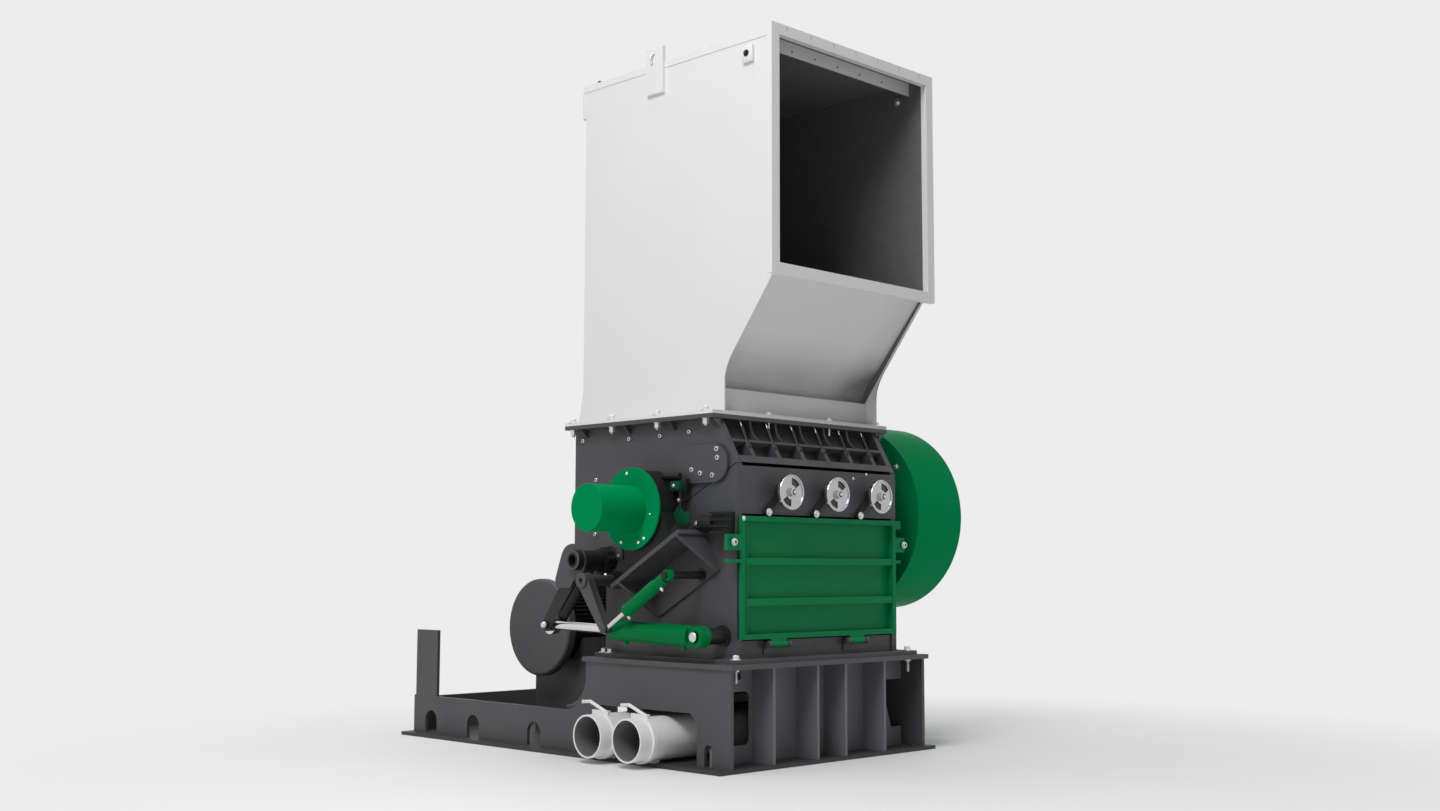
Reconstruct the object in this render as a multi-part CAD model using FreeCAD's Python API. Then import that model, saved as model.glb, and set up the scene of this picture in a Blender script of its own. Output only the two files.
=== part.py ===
"""Heavy plastic crusher with a tilting hopper, as an assembly of named pieces.

Millimetres. +X to the machine's right, +Y to its rear, +Z up.
The origin is on the floor, below the middle of the front face.
"""
import FreeCAD
import Part
import math
import os

V = FreeCAD.Vector
os.makedirs("parts", exist_ok=True)

# clearances that every pair of neighbours takes
fit = 0.05              # radial play of a shaft in its bearing
gap = 6.0               # running gap between moving and fixed plates
over = 1.0              # how far a cutter stands past the face it opens

# base frame
wall_x = 767.0          # outside face of each long wall
wall_t = 20.0
wall_in = wall_x - wall_t
front_y = -89.0
rear_y = 2588.0
plate_over = 82.0       # floor plate past the walls
plate_lip = 10.0        # floor plate past the front and rear
plate_t = 20.0
wall_top = 499.0        # high part of the walls
rail_top = 234.0        # low rear part
step_y = 997.0          # where the high part ends
step_r = 180.0          # its concave corner
arch_w = 115.0          # round-topped holes along the floor
arch_top = 150.0
arch_ys = (1437.0, 1998.0, 2413.0)
small_arch_w = 60.0
small_arch_top = 130.0
small_arch_y = 64.0
notch_y0 = 147.0        # cut-out that the pipes pass
notch_y1 = 880.0
notch_z = 275.0
notch_cut = 46.0        # its slanted front corner
panel_y = 60.0          # recessed front panel
panel_t = 16.0
rib_xs = (-455.0, -122.0, 99.0, 420.0)
rib_t = 16.0
port_w = 276.0          # left window of the panel
port_z0 = 111.0
port_z1 = 378.0
port_r = 40.0
side_port_w = 133.0     # right window, with a slanted corner
side_port_z0 = 122.0
side_port_z1 = 383.0
side_port_cut = 42.0
side_port_rise = 118.0
eyelet_x = -607.0       # small square hole under the top plate
eyelet_z = 438.0
eyelet_w = 65.0
eyelet_h = 50.0
top_t = 24.0
top_x = 782.0
top_y0 = -108.0
top_y1 = 1013.0
chute_x = 560.0         # opening under the chamber
chute_y0 = 130.0
chute_y1 = 900.0
cross_t = 20.0
cross_drop = 14.0       # rails and cross plate below the low walls' top
saddle_in = 25.0        # curved plate in the walls' concave corner
saddle_t = 14.0
post_y0 = 2362.0
post_y1 = 2572.0
post_top = 624.0

# discharge pipes and their shut-off gates
pipe_r = 110.0
pipe_wall = 9.0
pipe_z = 140.0
pipe_ys = (411.0, 711.0)
pipe_x0 = -1000.0
pipe_x1 = 300.0
pipe_foot_w = 60.0
pipe_foot_t = 40.0
pipe_foot_xs = (-840.0, 20.0)
gate_x = -905.0
gate_t = 28.0
gate_ring = 10.0
gate_tab_w = 124.0
gate_tab_h = 36.0
gate_tab_t = 18.0
grip_r = 9.0
grip_rise = 50.0
grip_reach = 60.0

# housing
side_x = 635.0
side_t = 40.0
side_in = side_x - side_t
body_z0 = wall_top + top_t
foot_t = 22.0
foot_x = 715.0
foot_y0 = -80.0
foot_y1 = 988.0
low_back = 990.0        # rear face of the lower housing
low_back_top = 955.0
up_back = 1261.0        # rear face of the upper housing
up_back_z = 1085.0
back_t = 30.0
split_z = 1527.0        # split line at the front face
slant_y = 137.0         # top of the slanted knife bed
flange_z = 1760.0
front_t = 40.0
front_gap = 12.0        # front plate below the split and above the door
sill_y = 8.0
shelf_t = 25.0
shelf_in = 48.0

# hinge of the upper housing
hinge_y = 965.0
hinge_z = 1037.0
hinge_r = 38.0
hinge_bore = 30.0
hinge_stub = 60.0       # shaft past the right side plate
lug_r = 70.0
eye_x = -900.0          # left end of the shaft
arm_t = 40.0            # inner lifting arms
arm_r0 = 62.0
arm_r1 = 50.0
arm_dy = 150.0
arm_dz = 60.0
arm_pad = 90.0

# rotor and its bearings
rotor_y = 600.0
rotor_z = 1303.0
rotor_r = 345.0
drum_r = 190.0
shaft_r = 70.0
shaft_x0 = -900.0
shaft_x1 = 1240.0
shaft_room = 15.0       # hole in the side plates around the shaft
shaft_sweep = 30.0      # degrees of slot that lead out of the upper plates
blade_w = 110.0
blade_count = 3
seat_a = 28.9           # slope of the bearing seat, degrees
seat_d = 290.0          # axis to seat
seat_len = 580.0
seat_t = 22.0
seat_x = -850.0
seat_cos = math.cos(math.radians(seat_a))
seat_sin = math.sin(math.radians(seat_a))
seat_end_y = rotor_y - seat_len / 2 * seat_cos - seat_d * seat_sin
seat_end_z = rotor_z + seat_len / 2 * seat_sin - seat_d * seat_cos
gusset_t = 18.0
gusset_h = 200.0
gusset_toe = 25.0
gusset_in = 14.0        # front gusset from the seat's end
gusset_back = 70.0      # rear gusset from the seat's end
web_t = 14.0
brg_x0 = -800.0
brg_x1 = -660.0
brg_r = 205.0
brg_foot = 480.0
brg_foot_h = 60.0
brg_waist = 340.0
brg_in = 10.0
cap_x = -1113.0
cap_r = 121.0
cap_skin = 6.0
cap_flange_r = 215.0
cap_flange_t = 12.0

# belt guard
guard_x0 = 922.0
guard_x1 = 1327.0
guard_r = 544.0
tunnel_r = 400.0
tunnel_end_r = 240.0
tunnel_in = 40.0
tunnel_out = 12.0
guard_skin = 6.0
guard_shaft_hole = 100.0
guard_motor_hole = 60.0
guard_arm = 60.0
guard_arm_at = ((-300.0, 180.0), (150.0, -500.0))

# motor
motor_y = 1840.0
motor_z = 648.0
motor_r = 205.0
motor_x0 = -372.0
motor_x1 = 560.0
motor_shaft_r = 55.0
motor_shaft_x1 = 1252.0
terminal_x0 = -150.0
terminal_x1 = 130.0
terminal_w = 240.0
terminal_top = 260.0
bed_x = -250.0          # free end of the motor rails
bed_end = 480.0
bed_w = 460.0
bed_rise = 60.0
rail_w = 90.0
rail_z = 340.0          # top face of the rails
beam_w = 60.0
cowl_r = 284.0
cowl_t = 52.0
cowl_edge = 20.0

# hopper
hop_x = 613.0
hop_back = 1226.0
hop_top = 3735.0
sheet = 8.0
flare_z = 1985.0        # the back leans out below this height
flare_y = 38.0
mouth_y = -271.0
mouth_x = 663.0
mouth_z0 = 2462.0
mouth_rise = 15.0       # frame above the hopper's roof
mouth_w = 57.0
mouth_d = 36.0
throat_y = 110.0
knee_z = 2010.0
knee_low = 60.0
knee_high = 76.0
knee_out = 50.0
slope_y0 = -226.0
collar_z = 1927.0
collar_y = 186.0
pan_y = 210.0           # slanted plate behind the collar
pan_back = 116.0        # where its straight part ends
pan_high = 102.0
lid_drop = 30.0         # folded edge of the lid
lid_back = 185.0
lid_t = 4.0
lid_rise = 6.0
lid_over = 24.0
rail_y = -150.0         # rail that a curtain hangs from
rail_h = 72.0
rail_t = 10.0
lift_y = 632.0          # lifting lugs
lift_w = 132.0
lift_t = 20.0
lift_drop = 165.0
lift_rise = 90.0
lift_hole_r = 22.0
lift_hole_dy = 12.0
lift_hole_dz = 38.0
fl_x = 700.0
fl_y0 = 109.0
fl_y1 = 1278.0
fl_t = 22.0             # flange of the housing
fl_hop_t = 19.0         # flange of the hopper
fl_mid = flange_z + fl_t
fl_top = fl_mid + fl_hop_t

# knife bed above the split
bed_lip = 40.0          # full-thickness lip, along the slant
bed_lip_d = 62.0        # depth of the pockets
bed_wall = 30.0
bed_front = 2.0
ledge_at = 128.0
ledge_w = 14.0
bed_pitch = 194.0
bed_ribs = 5
bed_rib_t = 14.0
bed_boss_w = 28.0
bed_rib_top = 143.0     # front of a rib under the flange
bed_rib_bow = 70.0

# covers on the left side
cover_y0 = 148.0
cover_y1 = 345.0
cover_z = 1530.0
cover_r = 98.0
cover_t = 14.0
cover_boss_r = 58.0
oil_w = 92.0
oil_h = 110.0
oil_d = 70.0
oil_fin = 12.0
oil_fin_out = 14.0
oil_fins = 4
oil_can_r = 40.0
oil_can_len = 95.0
oil_drop = 21.0

# front door
door_x0 = -624.0
door_x1 = 604.0
door_z0 = 640.0
door_z1 = 1259.0
door_y = -26.0
door_rim = 26.0
door_pan_y = 12.0
door_pan_t = 14.0
door_wall = 8.0
door_step = 4.0         # wall inside the rim
door_ribs = (1013.0, 808.0)
door_rib_h = 36.0
pivot_y = -22.0
pivot_z = 612.0
pivot_r = 10.0
door_hinge_xs = (-350.0, 268.0)
knuckle_w = 114.0
knuckle_r = 17.0
ear_t = 22.0
ear_r = 19.0
hinge_pad = 50.0
lug_h = 80.0            # clamp lugs at the door's sides, below the oil block
lug_gap = 2.3
lug_z1 = seat_end_z - oil_drop - lug_gap
lug_z0 = lug_z1 - lug_h
lug_x0 = -726.0
lug_x1 = 681.0
stop_drop = 62.0        # small rests below the lugs
stop_z0 = lug_z0 - stop_drop
stop_h = 17.0
top_ear_w = 43.0
top_ear_h = 46.0
catch_w = 55.0          # tapped block behind each lug
catch_d = 36.0

# handwheels and their dogs
wheel_xs = (-318.0, 47.0, 409.0)
wheel_z = 1385.0
wheel_r = 92.0
wheel_y = -84.0
wheel_t = 14.0
wheel_hole_r0 = 38.0    # kidney holes, from this radius
wheel_hole_r1 = 74.0    # out to this one
wheel_hole_span = 56.0
wheel_holes = (60.0, 240.0)
hub_r = 24.0
hub_y0 = -92.0
hub_y1 = -30.0
stem_r = 14.0
stem_y = -104.0
boss_r = 40.0
dog_y = -14.0
dog_t = 12.0
dog_w = 34.0
dog_dx = -112.0
dog_dz = -104.0
knob_r = 17.0
knob_y = -30.0

# main cylinder that tilts the upper housing
cyl_x = -802.0
cyl_pin_y = 93.0
cyl_pin_z = 657.0
cyl_pin_r = 20.0
cyl_boss_r = 40.0
cyl_eye_r = 54.0
cyl_eye_w = 60.0
crank_pin_y = 1240.0
crank_pin_z = 687.0
crank_pin_r = 12.0
cyl_r = 53.0
cyl_bore = 42.0
cyl_neck_r = 28.0
rod_r = 24.0
cyl_len = 600.0
cyl_end = 40.0          # thickness of the barrel's ends
rod_eye_r = 50.0
rod_eye_w = 44.0
open_r = 34.0           # wide hole of the open pivot
port_stub_r = 13.0
port_stub = 18.0
fork_t = 15.0
fork_gap = 60.0
crank_r0 = 52.0
crank_r1 = 34.0
crank_end = 58.0
crank_head_r = 20.0
collar_r = 62.0
collar_len = 74.0
crank_hub_r = 54.0

# cradle crank and its cylinder
crd_y = 872.0
crd_z = 930.0
crd_r = 28.0
crd_x = -885.0
crd_stub = 40.0
crd_collar_r = 42.0
crd_collar_len = 66.0
crd_pin_y = 706.0
crd_pin_z = 678.0
crd_pin_r = 5.0
crd_eye_r = 20.0
crd_hub_r = 38.0
crd_hub_w = 44.0
crd_fork_in = 13.0
crd_fork_t = 10.0
aux_in = 30.0           # wall pin from the seat's front end
aux_down = 228.3
aux_y = seat_end_y + aux_in
aux_z = seat_end_z - aux_down
aux_r = 29.0
aux_bore = 21.0
aux_neck_r = 15.0
aux_rod_r = 13.0
aux_len = 365.0
aux_end = 25.0
aux_pin_r = 11.0
aux_boss_r = 20.0
aux_eye_w = 30.0
aux_eye_r = 28.0
aux_tip_w = 14.0
aux_tip_r = 22.0
aux_open_r = 15.0
screen_r = 372.0
screen_t = 14.0
screen_a = 20.0
screen_drop = 60.0
crd_arm_t = 24.0
crd_arm_r = 36.0


def box(x0, x1, y0, y1, z0, z1):
    return Part.makeBox(x1 - x0, y1 - y0, z1 - z0, V(x0, y0, z0))


def rod(p, q, r):
    d = V(*q) - V(*p)
    return Part.makeCylinder(r, d.Length, V(*p), d)


def bar_x(x0, x1, y, z, r):
    return rod((x0, y, z), (x1, y, z), r)


def bar_y(y0, y1, x, z, r):
    return rod((x, y0, z), (x, y1, z), r)


def tube_x(x0, x1, y, z, r, inner):
    return bar_x(x0, x1, y, z, r).cut(bar_x(x0 - over, x1 + over, y, z, inner))


def prism(points, x0, x1):
    """A plate with its outline in Y and Z, from x0 to x1."""
    pts = [V(x0, y, z) for y, z in points]
    face = Part.Face(Part.makePolygon(pts + [pts[0]]))
    return face.extrude(V(x1 - x0, 0, 0))


def front_prism(points, y0, y1):
    """A plate with its outline in X and Z, from y0 to y1."""
    pts = [V(x, y0, z) for x, z in points]
    face = Part.Face(Part.makePolygon(pts + [pts[0]]))
    return face.extrude(V(0, y1 - y0, 0))


def fuse(shapes):
    s = shapes[0]
    for t in shapes[1:]:
        s = s.fuse(t)
    return s.removeSplitter()


def cut(shape, tools):
    for t in tools:
        shape = shape.cut(t)
    return shape


def mirror_x(shape):
    return shape.mirror(V(0, 0, 0), V(1, 0, 0))


def turned(shape, y, z, deg):
    s = shape.copy()
    s.rotate(V(0, y, z), V(1, 0, 0), deg)
    return s


def group(shapes):
    return Part.makeCompound(shapes)


def save(name, shape):
    shape.exportStep("parts/" + name + ".step")


def arc(cy, cz, r, deg0, deg1, steps=12):
    """Points along a circle, from one angle to another."""
    pts = []
    for i in range(steps + 1):
        a = math.radians(deg0 + (deg1 - deg0) * i / steps)
        pts.append((cy + r * math.cos(a), cz + r * math.sin(a)))
    return pts


def bend(p, q, r, steps=8):
    """Points along a soft curve from p to r that is drawn towards q."""
    pts = []
    for i in range(steps + 1):
        t = i / steps
        a, b, c = (1 - t) ** 2, 2 * t * (1 - t), t * t
        pts.append((a * p[0] + b * q[0] + c * r[0], a * p[1] + b * q[1] + c * r[1]))
    return pts


def taper(ya, za, ra, yb, zb, rb, x0, x1):
    """A flat link with round ends of two sizes."""
    d = math.hypot(yb - ya, zb - za)
    a = math.atan2(zb - za, yb - ya)
    b = math.acos((ra - rb) / d)
    pts = []
    for s in (b, -b):
        pts.append((ya + ra * math.cos(a + s), za + ra * math.sin(a + s)))
    for s in (-b, b):
        pts.append((yb + rb * math.cos(a + s), zb + rb * math.sin(a + s)))
    body = prism(pts, x0, x1)
    return fuse([body, bar_x(x0, x1, ya, za, ra), bar_x(x0, x1, yb, zb, rb)])


def arch(y, width, top):
    """Cutter for a round-topped hole that stands on the floor plate."""
    r = width / 2
    x0, x1 = -wall_x - over, -wall_in + over
    return fuse([box(x0, x1, y - r, y + r, plate_t, top - r), bar_x(x0, x1, y, top - r, r)])


def base_walls():
    corner_y = step_y + step_r
    corner_z = rail_top + step_r
    pts = [(front_y, plate_t), (rear_y, plate_t), (rear_y, rail_top)]
    pts += arc(corner_y, corner_z, step_r, 270, 180)
    pts += [(step_y, wall_top), (front_y, wall_top)]
    wall = prism(pts, -wall_x, -wall_in)
    holes = [arch(y, arch_w, arch_top) for y in arch_ys]
    holes.append(arch(small_arch_y, small_arch_w, small_arch_top))
    wall = cut(wall, holes)
    save("base_wall_right", mirror_x(wall))
    n = notch_cut
    notch = [(notch_y0, plate_t), (notch_y1, plate_t), (notch_y1, notch_z)]
    notch += [(notch_y0 + n, notch_z), (notch_y0, notch_z - n)]
    save("base_wall_left", wall.cut(prism(notch, -wall_x - over, -wall_in + over)))


def base_panel():
    """Recessed front panel with its windows, and the ribs before it."""
    y0, y1 = panel_y, panel_y + panel_t
    port = box(-wall_in, -wall_in + port_w, y0 - over, y1 + over, port_z0, port_z1)
    inner = -wall_in + port_w
    round_edges = []
    for e in port.Edges:
        along_y = abs(e.CenterOfMass.y - (y0 + y1) / 2) < over
        if along_y and abs(e.CenterOfMass.x - inner) < over:
            round_edges.append(e)
    port = port.makeFillet(port_r, round_edges)
    a = wall_in - side_port_w
    outline = [(a, side_port_z1), (wall_in, side_port_z1), (wall_in, side_port_z0)]
    outline += [(a + side_port_cut, side_port_z0), (a, side_port_z0 + side_port_rise)]
    side_port = front_prism(outline, y0 - over, y1 + over)
    eyelet = box(eyelet_x, eyelet_x + eyelet_w, y0 - over, y1 + over,
                 eyelet_z, eyelet_z + eyelet_h)
    panel = box(-wall_in, wall_in, y0, y1, plate_t, wall_top)
    ribs = []
    for x in rib_xs:
        ribs.append(box(x - rib_t / 2, x + rib_t / 2, front_y, y0, plate_t, wall_top))
    save("base_front_panel", fuse([cut(panel, [port, side_port, eyelet])] + ribs))


def base():
    x1 = wall_x + plate_over
    plate = box(-x1, x1, front_y - plate_lip, rear_y + plate_lip, 0, plate_t)
    save("base_plate", plate)
    base_walls()
    base_panel()
    top = box(-top_x, top_x, top_y0, top_y1, wall_top, body_z0)
    hole = box(-chute_x, chute_x, chute_y0, chute_y1, wall_top - over, body_z0 + over)
    save("base_top_plate", top.cut(hole))
    low_top = rail_top - cross_drop
    cross = box(-wall_in, wall_in, rear_y - cross_t, rear_y, plate_t, low_top)
    save("rear_cross_plate", cross)
    cy, cz = step_y + step_r, rail_top + step_r
    r = step_r - saddle_in
    pts = [(cy - r, wall_top), (cy - r - saddle_t, wall_top)]
    pts += arc(cy, cz, r + saddle_t, 180, 270)
    pts += arc(cy, cz, r, 270, 180)
    save("saddle_plate", prism(pts, -wall_in, wall_in))
    post = box(-wall_x, -wall_in, post_y0, post_y1, rail_top, post_top)
    save("rear_post", post)


def pipes():
    runs = []
    gates = []
    inner = pipe_r - pipe_wall
    for y in pipe_ys:
        feet = []
        for x in pipe_foot_xs:
            foot = box(x, x + pipe_foot_t, y - pipe_foot_w / 2, y + pipe_foot_w / 2,
                       plate_t, pipe_z - inner)
            feet.append(foot.cut(bar_x(x - over, x + pipe_foot_t + over, y, pipe_z, inner)))
        runs.append(fuse([tube_x(pipe_x0, pipe_x1, y, pipe_z, pipe_r, inner)] + feet))
        x0, x1 = gate_x - gate_t / 2, gate_x + gate_t / 2
        ring = tube_x(x0, x1, y, pipe_z, pipe_r + gate_ring, pipe_r)
        top = pipe_z + pipe_r + gate_tab_h / 2
        tab = box(gate_x - gate_tab_t / 2, gate_x + gate_tab_t / 2, y - gate_tab_w / 2,
                  y + gate_tab_w / 2, top - gate_tab_h, top)
        tab = tab.cut(bar_x(x0, x1, y, pipe_z, pipe_r))
        a = (gate_x, y - gate_tab_w / 3, top - grip_r)
        b = (gate_x - grip_reach / 3, y + gate_tab_w / 2, top - grip_r + grip_rise)
        c = (gate_x - grip_reach, y + gate_tab_w / 2 + grip_reach / 3, b[2])
        grip = fuse([rod(a, b, grip_r), Part.makeSphere(grip_r, V(*b)), rod(b, c, grip_r)])
        gates.append(fuse([ring, tab, grip]))
    save("discharge_pipes", group(runs))
    save("gate_valves", group(gates))


def split_frame():
    """Direction along the split line and square to it."""
    dy, dz = hinge_y, hinge_z - split_z
    n = math.hypot(dy, dz)
    return dy / n, dz / n, -dz / n, dy / n


def split_point(from_hinge, side):
    """A point on the split, half a gap to one side of it."""
    uy, uz, ny, nz = split_frame()
    h = side * gap / 2
    return (hinge_y - uy * from_hinge + ny * h, hinge_z - uz * from_hinge + nz * h)


def lower_housing():
    z0 = body_z0
    reach = math.hypot(hinge_y, split_z - hinge_z)
    a = split_point(reach, -1)
    b = split_point(gap * 5, -1)
    low = [(0, z0), (0, a[1]), b, (low_back, hinge_z), (low_back, z0)]
    x0, x1 = -side_x, -side_in
    plate = fuse([prism(low, x0, x1), bar_x(x0, x1, hinge_y, hinge_z, lug_r)])
    bores = [bar_x(x0 - over, x1 + over, hinge_y, hinge_z, hinge_r + fit)]
    bores.append(bar_x(x0 - over, x1 + over, crd_y, crd_z, crd_r + fit))
    bores.append(bar_x(x0 - over, x1 + over, rotor_y, rotor_z, shaft_r + shaft_room))
    catch = box(-side_x - catch_w, x0, 0, catch_d, lug_z0, lug_z1)
    left = fuse([cut(plate, bores), catch])
    save("lower_side_left", left)
    save("lower_side_right", mirror_x(left))
    xi = side_in
    front = box(-xi, xi, 0, front_t, door_z1 + front_gap, split_z - front_gap)
    sill = box(-xi, xi, sill_y, front_t, z0, door_z0 - sill_y)
    save("lower_front_plate", group([front, sill]))
    save("lower_back_plate", box(-xi, xi, low_back - back_t, low_back, z0, low_back_top))
    foot = box(-foot_x, foot_x, foot_y0, foot_y1, z0, z0 + foot_t)
    inner = box(-xi, xi, 0, low_back, z0 - over, z0 + foot_t + over)
    sides = box(-side_x, side_x, 0, foot_y1 + over, z0 - over, z0 + foot_t + over)
    save("housing_foot_flange", foot.cut(fuse([inner, sides])))


def shaft_slot(x0, x1):
    """Cutter that lets the upper side plate swing off the rotor's shaft."""
    r = shaft_r + shaft_room
    dy, dz = rotor_y - hinge_y, rotor_z - hinge_z
    reach = math.hypot(dy, dz)
    at = math.degrees(math.atan2(dz, dy))
    sweep = arc(hinge_y, hinge_z, reach - r, at, at + shaft_sweep)
    sweep += arc(hinge_y, hinge_z, reach + r, at + shaft_sweep, at)
    return fuse([bar_x(x0, x1, rotor_y, rotor_z, r), prism(sweep, x0, x1)])


def upper_housing():
    x0, x1 = -side_x, -side_in
    reach = math.hypot(hinge_y, split_z - hinge_z)
    a = split_point(reach - gap / 2, 1)
    b = split_point(lug_r, 1)
    up = [a, (slant_y, flange_z), (up_back, flange_z), (up_back, up_back_z)]
    up += [(hinge_y + shelf_t, up_back_z), (hinge_y, hinge_z + shelf_t), b]
    bores = [bar_x(x0 - over, x1 + over, hinge_y, hinge_z, lug_r + gap)]
    bores.append(shaft_slot(x0 - over, x1 + over))
    left = cut(prism(up, x0, x1), bores)
    save("upper_side_left", left)
    save("upper_side_right", mirror_x(left))
    xi = side_in
    y0 = hinge_y + arm_r0
    back = box(-xi, xi, up_back - back_t, up_back, up_back_z, flange_z)
    shelf = box(-xi + shelf_in, xi - shelf_in, y0, up_back - back_t,
                up_back_z, up_back_z + shelf_t)
    save("upper_back_plate", fuse([back, shelf]))


def hinge_shaft():
    """Hollow shaft with the two arms that lift the upper housing."""
    xi = side_in
    parts = [tube_x(eye_x, side_x + hinge_stub, hinge_y, hinge_z, hinge_r, hinge_bore)]
    for s in (-1, 1):
        e = sorted((s * (xi - gap), s * (xi - shelf_in)))
        arm = taper(hinge_y, hinge_z, arm_r0, hinge_y + arm_dy, up_back_z + arm_dz,
                    arm_r1, e[0], e[1])
        arm = arm.cut(bar_x(e[0] - over, e[1] + over, hinge_y, hinge_z, hinge_r))
        e = sorted((s * xi, s * (xi - shelf_in)))
        y1 = hinge_y + arm_dy + arm_r1
        z0 = up_back_z + shelf_t
        pad = box(e[0], e[1], y1 - arm_pad, y1, z0, z0 + arm_pad)
        parts.append(fuse([arm, pad]))
    save("hinge_shaft", fuse(parts))


def knife_bed():
    """The slanted bed above the split, with its ledge, ribs and bolt bosses."""
    xi = side_in
    y0, z0 = bed_front, split_z + gap
    dy, dz = slant_y - y0, flange_z - z0
    n = math.hypot(dy, dz)
    uy, uz = dy / n, dz / n

    def at(along, deep):
        return (y0 + uy * along + uz * deep, z0 + uz * along - uy * deep)
    d = bed_lip_d
    bed = [at(0, 0), at(bed_lip, 0), at(bed_lip, d), at(n + d, d), at(n + d, d + bed_wall),
           at(0, d + bed_wall)]
    body = prism(bed, -xi, xi)
    body = body.common(box(-xi, xi, y0, up_back, z0, flange_z))
    ledge = [at(ledge_at, 0), at(ledge_at + ledge_w, 0), at(ledge_at + ledge_w, d),
             at(ledge_at, d)]
    parts = [body, prism(ledge, -xi, xi)]
    low = at(ledge_at + ledge_w / 2, 0)
    deep = at(ledge_at + ledge_w / 2, d + bed_wall / 2)
    rib = bend((bed_rib_top, flange_z), (bed_rib_top, flange_z - bed_rib_bow), low)
    rib += [deep, (at(n, d + bed_wall / 2)[0], flange_z)]
    boss = [at(bed_lip, 0), at(ledge_at, 0), at(ledge_at, d), at(bed_lip, d)]
    for i in range(bed_ribs):
        x = bed_pitch * (i - (bed_ribs - 1) / 2)
        parts.append(prism(rib, x - bed_rib_t / 2, x + bed_rib_t / 2))
    for i in range(bed_ribs + 1):
        x = bed_pitch * (i - bed_ribs / 2)
        parts.append(prism(boss, x - bed_boss_w / 2, x + bed_boss_w / 2))
    save("knife_bed", fuse(parts))


def consoles():
    """Sloping seats for the rotor bearings, on gussets off the side plates."""
    zs = rotor_z - seat_d
    zt = zs - seat_t
    y0, y1 = rotor_y - seat_len / 2, rotor_y + seat_len / 2
    parts = [box(seat_x, -side_x, y0, y1, zt, zs)]
    parts.append(box(-side_x - web_t, -side_x, y0 + gusset_in, y1 - gusset_back + gusset_t,
                     zt - gusset_h, zt))
    outline = [(seat_x, zt), (-side_x, zt), (-side_x, zt - gusset_h),
               (-side_x - gusset_toe, zt - gusset_h)]
    for y in (y0 + gusset_in, y1 - gusset_back):
        parts.append(front_prism(outline, y, y + gusset_t))
    con = turned(fuse(parts), rotor_y, rotor_z, -seat_a)
    room = bar_x(-side_x - gusset_toe - over, -side_x + over, aux_y, aux_z,
                 aux_boss_r + cover_t + over)
    con = con.cut(room)
    save("bearing_consoles", group([con, mirror_x(con)]))


def bearings():
    ring = bar_x(brg_x0, brg_x1, rotor_y, rotor_z, brg_r)
    x0, x1 = brg_x0 + brg_in, brg_x1 - brg_in
    zs = rotor_z - seat_d
    foot = box(x0, x1, rotor_y - brg_foot / 2, rotor_y + brg_foot / 2, zs, zs + brg_foot_h)
    waist = box(x0, x1, rotor_y - brg_waist / 2, rotor_y + brg_waist / 2, zs, rotor_z)
    house = turned(fuse([ring, foot, waist]), rotor_y, rotor_z, -seat_a)
    house = house.cut(bar_x(brg_x0 - over, brg_x1 + over, rotor_y, rotor_z, shaft_r))
    save("rotor_bearings", group([house, mirror_x(house)]))
    disc = bar_x(brg_x0 - cap_flange_t, brg_x0, rotor_y, rotor_z, cap_flange_r)
    cap = bar_x(cap_x, brg_x0, rotor_y, rotor_z, cap_r)
    hollow = bar_x(cap_x + cap_skin, brg_x0 + over, rotor_y, rotor_z, cap_r - cap_skin)
    save("shaft_cover", fuse([disc, cap]).cut(hollow))


def rotor():
    xi = side_in - 2 * gap
    parts = [bar_x(shaft_x0, shaft_x1, rotor_y, rotor_z, shaft_r)]
    parts.append(bar_x(-xi, xi, rotor_y, rotor_z, drum_r))
    for i in range(blade_count):
        arm = box(-xi, xi, rotor_y - blade_w / 2, rotor_y + blade_w / 2,
                  rotor_z, rotor_z + rotor_r)
        parts.append(turned(arm, rotor_y, rotor_z, 360 / blade_count * i + screen_a))
    save("rotor", fuse(parts))


def guard():
    g0, g1 = guard_x0, guard_x1
    t0, t1 = g0 + tunnel_in, g1 - tunnel_out
    s = guard_skin
    drum = bar_x(g0, g1, rotor_y, rotor_z, guard_r)
    tunnel = taper(rotor_y, rotor_z, tunnel_r, motor_y, motor_z, tunnel_end_r, t0, t1)
    hollow = bar_x(g0 + s, g1 - s, rotor_y, rotor_z, guard_r - s)
    throat = taper(rotor_y, rotor_z, tunnel_r - s, motor_y, motor_z, tunnel_end_r - s,
                   t0 + s, t1 - s)
    holes = [hollow, throat]
    holes.append(bar_x(g0 - over, g0 + tunnel_in, rotor_y, rotor_z, guard_shaft_hole))
    holes.append(bar_x(g0 - over, t0 + tunnel_in, motor_y, motor_z, guard_motor_hole))
    save("belt_guard", cut(fuse([drum, tunnel]), holes))
    arms = []
    for dy, dz in guard_arm_at:
        y, z = rotor_y + dy, rotor_z + dz
        arms.append(box(side_x, g0, y, y + guard_arm, z, z + guard_arm))
    save("guard_arms", group(arms))


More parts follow.
